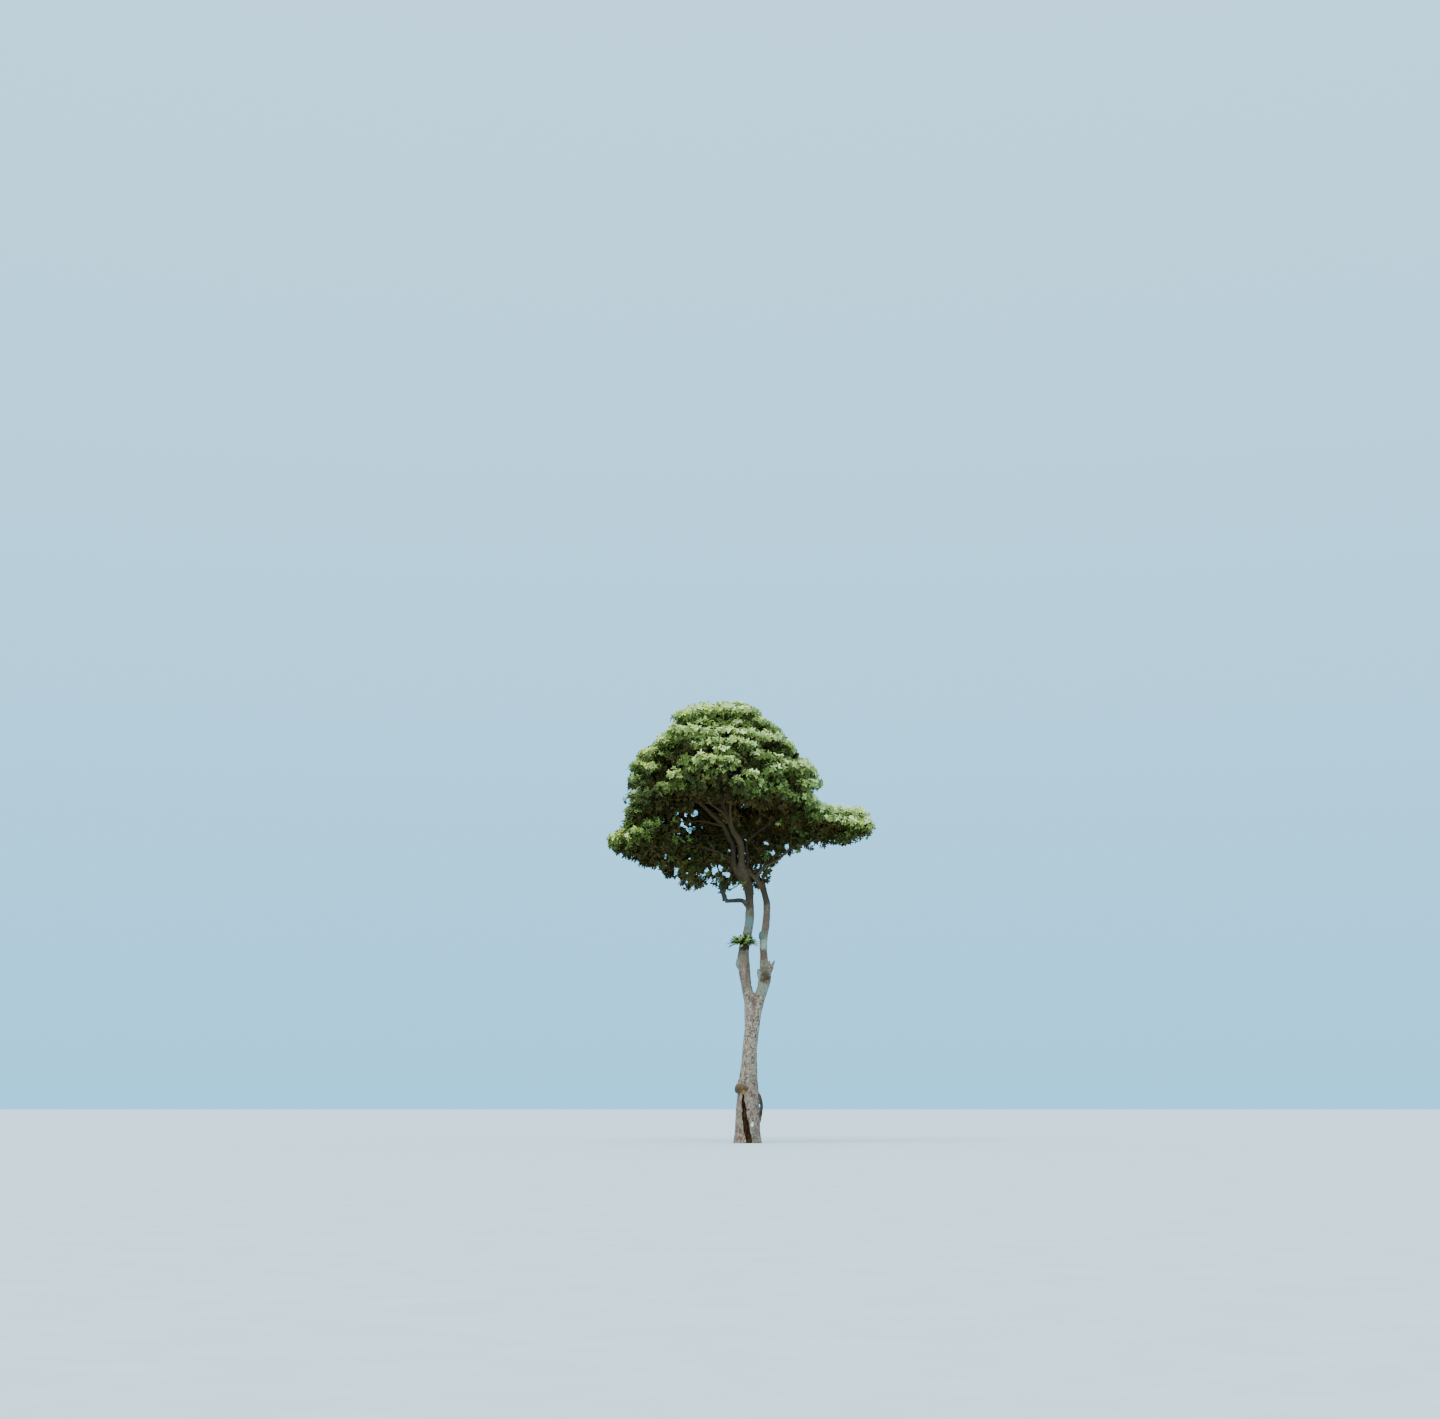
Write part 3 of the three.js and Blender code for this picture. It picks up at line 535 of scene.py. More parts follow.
def knob(centre, radii, seed):
    """A rounded swelling with an uneven skin."""
    sides = 40
    angle = turns(sides)
    tilt = np.linspace(-0.98, 0.98, 26) * np.pi / 2
    points = np.empty((len(tilt), sides, 3))
    points[:, :, 0] = np.cos(tilt)[:, None] * np.cos(angle)
    points[:, :, 1] = np.cos(tilt)[:, None] * np.sin(angle)
    points[:, :, 2] = np.sin(tilt)[:, None]
    flat = points.reshape(-1, 3)
    grow = 1.0 + 0.1 * layered_noise(flat * 2.0, seed)
    flat = np.array(centre) + flat * grow[:, None] * np.array(radii)
    return flat, rings_to_faces(len(tilt), sides)


def spike(start, end, root, tip):
    return tubes([np.linspace(start, end, 8)], [np.linspace(root, tip, 8)], 12)


# A strip of bark that stands off the butt on its right
LOOSE_STRIP = [
    [0.22, -0.02, 1.26], [0.29, -0.03, 1.13], [0.35, -0.04, 0.95], [0.35, -0.04, 0.76], [0.325, -0.03, 0.5],
]
STRIP_WIDTHS = [[0, 12, 30, 45, 59], [0.034, 0.046, 0.044, 0.028, 0.014]]
# Swellings of the bark, three of them the burl: middle, radii and seed
KNOBS = [
    [[-0.165, -0.12, 1.32], [0.145, 0.15, 0.14], 3], [[-0.08, -0.19, 1.36], [0.12, 0.1, 0.09], 4],
    [[-0.13, -0.1, 1.46], [0.1, 0.1, 0.14], 6], [[-0.21, -0.02, 4.38], [0.066, 0.08, 0.14], 5],
    [[0.365, 0.01, 5.08], [0.066, 0.075, 0.12], 7], [[0.3, 0.0, 4.13], [0.055, 0.07, 0.13], 8],
]
# The broken snag: from, to and the radii there
SNAG = [
    [[0.5, 0.01, 4.12], [0.6, 0.0, 4.32], 0.09, 0.075],
    [[0.58, 0.0, 4.26], [0.7, -0.01, 4.47], 0.055, 0.01],
    [[0.56, 0.01, 4.3], [0.57, 0.0, 4.46], 0.04, 0.01],
]


def stem_shapes():
    """The trunk, the stems, and what stands on them."""
    trunk = upright(TRUNK, 200, 0.012, trunk_shape)
    carve_slit(trunk)
    stems = [closed(trunk), closed(upright(LEFT_STEM, 72, 0.03)), closed(upright(RIGHT_STEM, 72, 0.03))]
    strip = tubes([smooth_path(LOOSE_STRIP, 60)], [np.interp(np.arange(60), *STRIP_WIDTHS)], 12)
    return stems + [knob(*row) for row in KNOBS] + [strip] + [spike(*row) for row in SNAG]


# Where the leaders run down inside the left stem
LEADER_FEET = {
    "leader_middle": [[0.08, 0.0, 6.1], [0.05, -0.02, 6.38]],
    "leader_left": [[0.07, 0.01, 6.1], [-0.01, 0.02, 6.4]],
    "leader_right": [[0.07, 0.01, 6.2], [0.08, 0.03, 6.4]],
}
# How much the bark swells some limbs
SWELLING = {"twisted_bough": 1.35, "twisted_bough_rise": 1.7, "leader_left": 1.25, "leader_middle": 1.12}


def bough_shape(name, sides, spacing):
    """A bough with a collar at its root, an uneven girth and small bends."""
    bough = boughs[name]
    path = bough["path"]
    collar_height = 0.45
    if name in LEADER_FEET:
        path = smooth_path(np.vstack([LEADER_FEET[name], path[4::4]]))
        collar_height = 0.0
    length = np.linalg.norm(np.diff(path, axis=0), axis=1).sum()
    path = evenly(path, max(8, round(length / spacing)))
    share = np.linspace(0.0, 1.0, len(path))
    radius = limb_radius(bough["root"], bough["tip"], share) * SWELLING.get(name, 1.0)
    collar = 1.0 + collar_height * np.exp(-share * length / 0.1)
    uneven = 1.0 + (0.22 if name.startswith("twisted") else 0.1) * lump_noise(path * 9.0, 11)
    bends = np.column_stack([lump_noise(path * 2.6, 13 + k) for k in range(3)])
    path = path + 0.05 * bends * np.sin(np.pi * share)[:, None] * smoothstep(0.3, 1.2, length)
    return tubes([path], [radius * collar * uneven], sides)


# The twisted bough's small loop, and the thin twig that arcs across to it from the stem
LOOP = [
    [-0.6, -0.05, 6.5], [-0.55, -0.07, 6.42], [-0.53, -0.08, 6.33], [-0.55, -0.09, 6.24],
    [-0.57, -0.08, 6.12],
]
ARC = [
    [0.0, -0.02, 6.5], [-0.17, -0.06, 6.39], [-0.31, -0.09, 6.28], [-0.42, -0.1, 6.24],
    [-0.56, -0.09, 6.24],
]


def bare_twigs():
    return [
        tubes([smooth_path(LOOP, 30)], [np.linspace(0.032, 0.028, 30)], 10),
        tubes([smooth_path(ARC, 40)], [np.linspace(0.02, 0.015, 40)], 8),
    ]


# A dish pressed into the burl: middle and radii
DISH = ([-0.1, -0.285, 1.2], [0.062, 0.09, 0.1])
# Heights of the bark's relief
LUMPS = 0.009
FURROWS = 0.0035
SCARS = 0.02


def press(points, centre, radii):
    """Presses the front of the skin back out of an oval hollow."""
    aside = (points[:, 0] - centre[0]) / radii[0]
    above = (points[:, 2] - centre[2]) / radii[2]
    across = aside**2 + above**2
    back = centre[1] + radii[1] * np.sqrt(np.maximum(0.0, 1.0 - across))
    pressed = (across < 1.0) & (points[:, 1] < back) & (points[:, 1] < 0.0)
    points[pressed, 1] = back[pressed]


def add_relief(made, strength=1.0, hollow=None):
    """Lumps, furrows and scars of the bark, as real relief in the mesh."""
    mesh = made.data
    points = rows_of(mesh.vertices, "co")
    normals = rows_of(mesh.vertex_normals, "vector")
    lumps = layered_noise(points * [6.0, 6.0, 3.2], 21)
    warped = points + 0.03 * lump_noise(points * 5.0, 31)[:, None]
    furrows = 1.0 - 2.0 * np.abs(layered_noise(warped * [30.0, 30.0, 6.0], 41, 2))
    scars = np.maximum(0.0, layered_noise(points * [9.0, 9.0, 7.0], 51, 2) - 0.55)
    height = LUMPS * lumps + FURROWS * furrows - SCARS * scars
    height *= strength * smoothstep(0.0, 0.02, points[:, 2])
    points += normals * height[:, None]
    points[:, 2] = np.maximum(points[:, 2], 0.0)
    if hollow:
        press(points, *hollow)
    mesh.vertices.foreach_set("co", points.astype(np.float32).ravel())
    mesh.update()


def line_slit(made, material):
    """Gives the faces deep inside the slit the look of rotten wood."""
    made.data.materials.append(material)
    x, y, z = rows_of(made.data.polygons, "center").T
    rows = np.array(TRUNK)
    middle, half_width, half_depth = (np.interp(z, rows[:, 0], rows[:, k]) for k in (1, 3, 4))
    front = -half_depth * np.sqrt(np.clip(1.0 - ((x - middle) / half_width) ** 2, 0.0, 1.0))
    deep = (np.abs(x - slit_middle(z)) < slit_half_width(z)) & (z < SLIT_TOP)
    deep &= (y < 0.1) & (y > front + 0.035)
    made.data.polygons.foreach_set("material_index", deep.astype(np.int32))
    made.data.update()


# Materials


def srgb(red, green, blue):
    def linear(value):
        value /= 255.0
        return value / 12.92 if value <= 0.04045 else ((value + 0.055) / 1.055) ** 2.4

    return (linear(red), linear(green), linear(blue), 1.0)


class Shader:
    """A material under construction: a Principled shader and short ways to add nodes to it."""

    def __init__(self, name):
        self.material = bpy.data.materials.new(name)
        self.material.use_nodes = True
        self.tree = self.material.node_tree
        self.principled = self.tree.nodes["Principled BSDF"]
        self.place = self.tree.nodes.new("ShaderNodeTexCoord").outputs["Object"]

    def feed(self, sockets, values):
        """Sets each named socket to its value, or links it where the value is another node's output."""
        for name, value in values.items():
            if isinstance(value, bpy.types.NodeSocket):
                self.tree.links.new(value, sockets[name])
            else:
                sockets[name].default_value = value

    def node(self, kind, values, **settings):
        made = self.tree.nodes.new(kind)
        for name, setting in settings.items():
            setattr(made, name, setting)
        self.feed(made.inputs, values)
        return made

    def noise(self, scale, upright=1.0, detail=4.0, roughness=0.55):
        """Noise that is drawn out upwards where upright is under 1."""
        mapping = self.node("ShaderNodeMapping", {"Vector": self.place, "Scale": (1.0, 1.0, upright)})
        stretched = mapping.outputs["Vector"]
        values = {"Vector": stretched, "Scale": scale, "Detail": detail, "Roughness": roughness}
        return self.node("ShaderNodeTexNoise", values).outputs["Fac"]

    def ramp(self, source, low, high, start=0.0, end=1.0):
        """Turns source from low to high into start to end, smoothly and clamped."""
        values = {"Value": source, "From Min": low, "From Max": high, "To Min": start, "To Max": end}
        return self.node("ShaderNodeMapRange", values, interpolation_type="SMOOTHSTEP").outputs["Result"]

    def mix(self, share, under, over):
        """Lays a colour over another. Each is a colour or a node's output."""
        return self.node("ShaderNodeMix", {"Factor": share, 6: under, 7: over}, data_type="RGBA").outputs[2]

    def oval(self, warp, centre, half, strength):
        """One inside an upright oval column with an uneven edge, and nothing outside."""
        apart = self.place
        for operation, value in (("SUBTRACT", centre), ("DIVIDE", half), ("MULTIPLY", (1.0, 0.0, 1.0))):
            apart = self.node("ShaderNodeVectorMath", {0: apart, 1: value}, operation=operation).outputs[0]
        length = self.node("ShaderNodeVectorMath", {0: apart}, operation="LENGTH").outputs["Value"]
        uneven = self.node("ShaderNodeMath", {0: warp, 1: 3.0, 2: length}, operation="MULTIPLY_ADD")
        return self.ramp(uneven.outputs[0], 2.75, 2.1, 0.0, strength)

    def product(self, first, second):
        return self.node("ShaderNodeMath", {0: first, 1: second}, operation="MULTIPLY").outputs[0]

    def height(self):
        return self.node("ShaderNodeSeparateXYZ", {0: self.place}).outputs["Z"]

    def dress(self, colour, skin, rough, relief, distance, shine):
        """The finished material. Its roughness follows the skin's pattern, from rough[0] to rough[1]."""
        bump = self.node("ShaderNodeBump", {"Height": relief, "Distance": distance, "Strength": 1.0})
        self.feed(self.principled.inputs, {
            "Base Color": colour,
            "Roughness": self.ramp(skin, 0.3, 0.7, *rough),
            "Normal": bump.outputs["Normal"],
            "Specular IOR Level": shine,
        })
        return self.material


# Patches on the bark, a few of them painted shade: x and z of the middle, half width, half height, strength
# and colour
BARK_PATCHES = [
    [-0.04, 3.95, 0.2, 0.26, 0.5, (112, 92, 76)], [-0.1, 4.52, 0.18, 0.28, 0.7, (126, 98, 80)],
    # The second patch on the next line is painted shadow under the tuft of strap leaves
    [0.0, 4.2, 0.05, 0.34, 0.6, (104, 76, 56)], [-0.04, 4.78, 0.14, 0.09, 0.9, (52, 38, 26)],
    [-0.25, 4.38, 0.07, 0.16, 0.8, (118, 132, 116)], [0.07, 5.4, 0.22, 0.22, 0.8, (104, 120, 108)],
    [0.5, 5.46, 0.16, 0.24, 0.85, (106, 82, 68)], [0.34, 5.09, 0.09, 0.14, 0.95, (88, 108, 92)],
    [0.43, 4.86, 0.14, 0.13, 0.8, (154, 164, 140)], [0.42, 4.58, 0.14, 0.14, 0.85, (106, 78, 60)],
    [0.45, 4.02, 0.14, 0.13, 0.9, (70, 52, 34)], [0.4, 4.22, 0.1, 0.08, 0.6, (82, 82, 62)],
    [0.27, 4.12, 0.07, 0.15, 0.9, (140, 156, 138)], [0.4, 3.74, 0.2, 0.16, 0.6, (130, 138, 120)],
    [0.17, 3.45, 0.06, 0.26, 0.65, (96, 70, 54)], [0.03, 2.35, 0.04, 0.16, 0.45, (176, 148, 104)],
    [0.12, 0.46, 0.03, 0.06, 1.0, (226, 226, 214)], [-0.17, 1.31, 0.17, 0.15, 0.85, (88, 66, 42)],
    [-0.1, 1.23, 0.045, 0.07, 1.0, (176, 124, 52)], [0.37, 0.84, 0.07, 0.42, 0.9, (58, 46, 34)],
    # The last patch on this line and the first on the next are painted shade on the tops of both stems under
    # the crown
    [0.32, 1.12, 0.05, 0.08, 0.8, (70, 54, 40)], [0.06, 6.1, 0.15, 0.34, 0.6, (52, 44, 34)],
    [0.47, 6.08, 0.13, 0.32, 0.6, (52, 44, 34)], [-0.3, 5.95, 0.3, 0.16, 0.8, (46, 48, 46)],
    [-0.6, 6.25, 0.16, 0.32, 0.7, (46, 48, 46)],
]


# Mottling of the bark under the lichen: noise scale, upright stretch, where it starts and is full, strength
# and colour
MOTTLING = [
    [4.6, 0.7, 0.52, 0.6, 0.7, (136, 142, 112)], [3.1, 0.5, 0.55, 0.62, 0.6, (118, 82, 58)],
]
# The bark's tone by height: from where it starts to where it is full, strength and colour. The second row is
# painted shade that darkens and warms the butt towards the foot; the last two are painted shade that darkens
# the stems and limbs under and inside the crown
TONE_HEIGHTS = [
    [2.9, 4.4, 0.36, (96, 80, 60)], [2.6, 1.2, 0.33, (102, 66, 54)], [5.3, 6.2, 0.8, (74, 52, 29)],
    [6.6, 8.4, 0.7, (80, 62, 36)],
]


def bark_material():
    """Pinkish grey bark, mottled with cream lichen, sage and brown, and darker towards the top. Painted
    shade darkens it under the crown and at the butt.
    """
    s = Shader("bark")
    height = s.height()
    streaks = s.noise(11.0, 0.6, 8.0, 0.75)
    colour = s.mix(s.ramp(streaks, 0.42, 0.58), srgb(96, 70, 55), srgb(154, 128, 111))
    for scale, upright, start, full, strength, tone in MOTTLING:
        spots = s.ramp(s.noise(scale, upright, 7.0, 0.7), start, full, 0.0, strength)
        colour = s.mix(spots, colour, srgb(*tone))
    lichen = s.ramp(s.noise(28.0, 0.8, 5.0, 0.7), 0.5, 0.6, 0.0, 0.85)
    colour = s.mix(s.product(lichen, s.ramp(height, 5.2, 3.6, 0.25, 1.0)), colour, srgb(190, 176, 154))
    for start, full, strength, tone in TONE_HEIGHTS:
        colour = s.mix(s.ramp(height, start, full, 0.0, strength), colour, srgb(*tone))
    warp = s.noise(8.0, 1.0, 5.0, 0.65)
    for x, z, half_width, half_height, strength, tone in BARK_PATCHES:
        patch = s.oval(warp, (x, 0.0, z), (half_width, 1.0, half_height), strength)
        colour = s.mix(patch, colour, srgb(*tone))
    cracks = s.noise(34.0, 0.3, 7.0, 0.7)
    colour = s.mix(s.ramp(cracks, 0.47, 0.36, 0.0, 0.6), colour, srgb(62, 48, 38))
    return s.dress(colour, streaks, (0.95, 0.75), cracks, 0.014, 0.06)


def hollow_material():
    """Dark rotten wood inside the slit."""
    s = Shader("hollow_wood")
    grain = s.noise(22.0, 0.25, 5.0)
    colour = s.mix(s.ramp(grain, 0.4, 0.62), srgb(56, 36, 20), srgb(112, 78, 50))
    return s.dress(colour, grain, (1.0, 0.85), grain, 0.01, 0.05)


def twig_material():
    s = Shader("twig_bark")
    grain = s.noise(30.0, 0.5)
    colour = s.mix(s.ramp(grain, 0.35, 0.65), srgb(46, 38, 28), srgb(78, 66, 50))
    return s.dress(colour, grain, (0.95, 0.8), grain, 0.004, 0.2)


def leaf_material(name, colour, shine):
    """Leaves of one plain colour, with an uneven waxy skin."""
    s = Shader(name)
    skin = s.noise(60.0, 1.0, 3.0)
    return s.dress(colour, skin, (0.45, 0.7), skin, 0.002, shine)


# Plain leaf colours, dealt out by the light on each spray: the darker ones are painted shade, the paler ones
# partly painted light and partly paler young leaves
LEAF_COLOURS = {
    "cream": (223, 229, 148),
    "lime": (204, 206, 96),
    "mint": (188, 200, 120),
    "fresh": (134, 151, 71),
    "middle": (92, 104, 34),
    "deep": (67, 72, 17),
    "shade": (53, 51, 16),
    "dark": (114, 92, 46),
    "umber": (76, 60, 27),
}
PALE_LEAVES = ("mint", "lime", "cream")
DULL_LEAVES = ("umber", "dark", "shade")
DULL_SHINE = 0.08
LEAF_SHINE = 0.3


# Foliage


def spread_directions(count, pole, lowest):
    """Directions spread evenly round a pole by the golden angle, the first of them along the pole."""
    i = np.arange(count)
    height = 1.0 - (1.0 - lowest) * i / max(1, count - 1)
    across = np.sqrt(np.maximum(0.0, 1.0 - height**2))
    angle = i * math.pi * (3.0 - math.sqrt(5.0))
    side, other = square_to(pole[None])
    return (
        height[:, None] * pole
        + (across * np.cos(angle))[:, None] * side
        + (across * np.sin(angle))[:, None] * other
    )


def jittered(random, directions, amount):
    return unit(directions + amount * random.normal(size=directions.shape))


# The places and radii of beads strung along every limb
limb_beads = np.vstack(
    [np.column_stack([bough["path"], girths(bough)]) for bough in boughs.values()]
    + [np.array(stations)[:, [1, 2, 0, 3]] for stations in (LEFT_STEM, RIGHT_STEM)]
)


def clear_of_limbs(points, gap):
    """Whether each point is farther than gap from the skin of every limb, in batches to spare memory."""
    clear = np.ones(len(points), bool)
    for start in range(0, len(points), 4000):
        batch = slice(start, start + 4000)
        away = np.linalg.norm(points[batch, None] - limb_beads[:, :3], axis=2) - limb_beads[:, 3]
        clear[batch] = away.min(axis=1) > gap
    return clear


# Openings right through the crown: x and z where the line of sight crosses y = 0, then half width and half
# height there
OPENINGS = [
    [-1.54, 8.13, 0.025, 0.05], [-1.28, 8.18, 0.04, 0.09], [-1.37, 8.13, 0.05, 0.05],
    [-1.74, 8.18, 0.02, 0.03], [-1.63, 7.92, 0.045, 0.1], [-1.43, 7.73, 0.09, 0.06],
    [-1.32, 7.79, 0.05, 0.05], [-1.53, 7.81, 0.035, 0.05], [-1.43, 7.89, 0.025, 0.03],
    [-1.12, 7.82, 0.02, 0.03], [-2.07, 7.98, 0.07, 0.09], [-1.81, 7.85, 0.025, 0.025],
    [-1.94, 7.78, 0.025, 0.025], [-1.69, 7.83, 0.02, 0.02], [-1.73, 7.66, 0.06, 0.02],
    [-2.04, 7.13, 0.04, 0.04], [-2.04, 7.04, 0.035, 0.04], [-1.77, 6.75, 0.05, 0.05],
    [-1.78, 6.64, 0.04, 0.045], [-1.73, 6.49, 0.03, 0.06], [-1.44, 7.0, 0.03, 0.03],
    [-1.07, 6.98, 0.02, 0.04], [-1.49, 6.67, 0.035, 0.025], [-1.0, 6.73, 0.03, 0.07],
    [-0.81, 6.72, 0.06, 0.09], [-0.89, 6.87, 0.03, 0.03], [-0.66, 6.79, 0.04, 0.09],
    [-0.75, 6.85, 0.035, 0.025], [-1.09, 6.61, 0.03, 0.03], [-0.49, 6.61, 0.06, 0.06],
    [-0.58, 6.64, 0.03, 0.05], [-0.42, 9.18, 0.08, 0.09], [-0.18, 9.27, 0.06, 0.09],
    [-0.03, 7.51, 0.03, 0.025], [0.46, 7.43, 0.03, 0.035], [0.53, 7.4, 0.03, 0.05],
    [1.01, 7.33, 0.05, 0.07], [0.67, 7.16, 0.04, 0.05],
]
# The middles of leaves stay this much farther out, because leaves reach into an opening
OPENING_ROOM = 0.03


def seen_at(points):
    """The x and z where the line of sight to each point crosses y = 0."""
    depth = (0.0 - EYE[1]) / (points[:, 1] - EYE[1])
    return EYE[0] + (points[:, 0] - EYE[0]) * depth, EYE[2] + (points[:, 2] - EYE[2]) * depth


# How far the crown reaches to the left and to the right in the photograph at each height, at y = 0
CROWN_SIDES = np.array([
    [6.0, -1.5, 0.4], [6.3, -1.7, 0.45], [6.5, -2.0, 0.5], [6.8, -2.15, 0.55], [6.9, -2.8, 0.7],
    [7.05, -2.95, 0.85], [7.15, -3.2, 1.1], [7.3, -3.45, 1.9], [7.45, -3.5, 2.7], [7.6, -3.4, 3.2],
    [7.8, -3.1, 3.25], [8.1, -3.05, 3.1], [8.35, -3.1, 2.9], [8.45, -3.1, 1.8], [8.7, -3.0, 1.75],
    [8.87, -2.95, 1.95], [9.1, -3.0, 1.78], [9.35, -3.0, 1.72], [9.5, -2.82, 1.6], [9.57, -2.8, 1.27],
    [9.75, -2.72, 1.22], [9.88, -2.4, 1.17], [9.98, -2.26, 1.12], [10.15, -2.22, 0.98],
    [10.26, -2.02, 0.84], [10.4, -1.94, 0.66], [10.52, -1.92, 0.5], [10.66, -1.88, 0.38],
    [10.8, -1.74, 0.24], [10.95, -1.45, 0.06],
])


def drawn_in(points, margin):
    """The points, with those too near the sides of the crown moved in by up to margin."""
    x, z = seen_at(points)
    left, right = (np.interp(z, CROWN_SIDES[:, 0], CROWN_SIDES[:, k]) for k in (1, 2))
    room = np.minimum(margin, 0.4 * (right - left))
    moved = points.copy()
    moved[:, 0] += (np.clip(x, left + room, right - room) - x) * (points[:, 1] - EYE[1]) / -EYE[1]
    return moved


def in_opening(points):
    """Whether each point lies in the way of an opening. The openings have ragged edges."""
    x, z = seen_at(points)
    ragged = 0.4 * layered_noise(points * 14.0, 95, 2)
    found = np.zeros(len(points), bool)
    for middle_x, middle_z, half_width, half_height in OPENINGS:
        aside = (x - middle_x) / (half_width + OPENING_ROOM)
        above = (z - middle_z) / (half_height + OPENING_ROOM)
        found |= aside**2 + above**2 + ragged < 1.0
    return found


def from_oval(x, z, oval):
    """How far each place seen is from an oval's middle, where 1 is on its edge."""
    return np.hypot((x - oval[0]) / oval[2], (z - oval[1]) / oval[3])


# Where light comes from: elevation in degrees, how many ways round, and the weight of each
LIGHT_RINGS = [[90, 1, 3.0], [65, 5, 1.6], [40, 8, 0.7], [15, 8, 0.12]]
TO_KEY = unit([-0.25, -0.6, 0.76])
# The light is followed through a grid of cells, and each spray adds some shade to its cell
SHADE_CELL = 0.12
SHADE_STEPS = np.concatenate([np.arange(1.2, 8.0, 1.0), np.arange(8.2, 36.0, 2.5)]) * SHADE_CELL
SPRAY_SHADE = 0.5


def light_ways():
    """Each way that light comes from and its weight, which is more for the ways near the key light."""
    for elevation, count, weight in LIGHT_RINGS:
        rise = math.radians(elevation)
        for i in range(count):
            turn = 2 * math.pi * (i + elevation / 77.0) / count
            way = way_of(turn, rise)
            yield way, weight * (0.5 + 1.2 * max(0.0, way @ TO_KEY))


def openness(at):
    """The share of all the light that reaches each spray past the others, from 0 to 1."""
    low = at.min(axis=0) - SHADE_CELL
    size = np.ceil((at.max(axis=0) - low) / SHADE_CELL).astype(int) + 2
    grid = np.zeros(size)
    np.add.at(grid, tuple(((at - low) / SHADE_CELL).astype(int).T), SPRAY_SHADE)
    for axis in range(3):
        grid = 0.5 * grid + 0.25 * np.roll(grid, 1, axis) + 0.25 * np.roll(grid, -1, axis)
    light = np.zeros(len(at))
    total = 0.0
    for way, share in light_ways():
        shade = np.zeros(len(at))
        for distance, step in zip(SHADE_STEPS, np.gradient(SHADE_STEPS) / SHADE_CELL):
            cell = ((at + way * distance - low) / SHADE_CELL).astype(int)
            inside = ((cell >= 0) & (cell < size)).all(axis=1)
            shade[inside] += step * grid[tuple(cell[inside].T)]
        light += share * np.exp(-shade)
        total += share
    return light / total


# The skin of a mass that one clump of twigs takes up, how flat it is, and its sprays for each square metre
CLUMP_AREA = 0.48
CLUMP_HEIGHT = 0.56
SPRAYS_PER_AREA = 42.0
# Clumps inside a mass for each one on its skin, and how many of those buried between two masses are kept
INNER_SHARE = 0.45
BURIED_SHARE = 0.6
# Both shares in a low mass
LOW_SHARE = 0.9
CLUMP_RADII = (0.32, 0.56)
# Twigs reach a share of the clump's radius out from its middle, and a few stray farther
TWIG_SHARES = (0.8, 1.1)
STRAY_SHARE = 0.06
STRAY_LENGTHS = (0.04, 0.14)
FORKED_SHARE = 0.7
TWIG_RADIUS = 0.0045
# Leaves on a spray: from, and up to but not including
LEAF_NUMBERS = (4, 7)
# Leaves inside are larger than the outer ones by INNER_SIZE. Sprays under OUTER_SIZE count as outer ones
INNER_SIZE = 1.4
OUTER_SIZE = 1.2
# Below this height the foliage is ragged. Nothing grows farther to the front than the limit
RAGGED_HEIGHT = 7.2
FRONT_LIMIT = -2.66

twig_shapes = []
sprays = {"root": [], "at": [], "axis": [], "local_up": [], "size": [], "leaves": [], "clump": []}


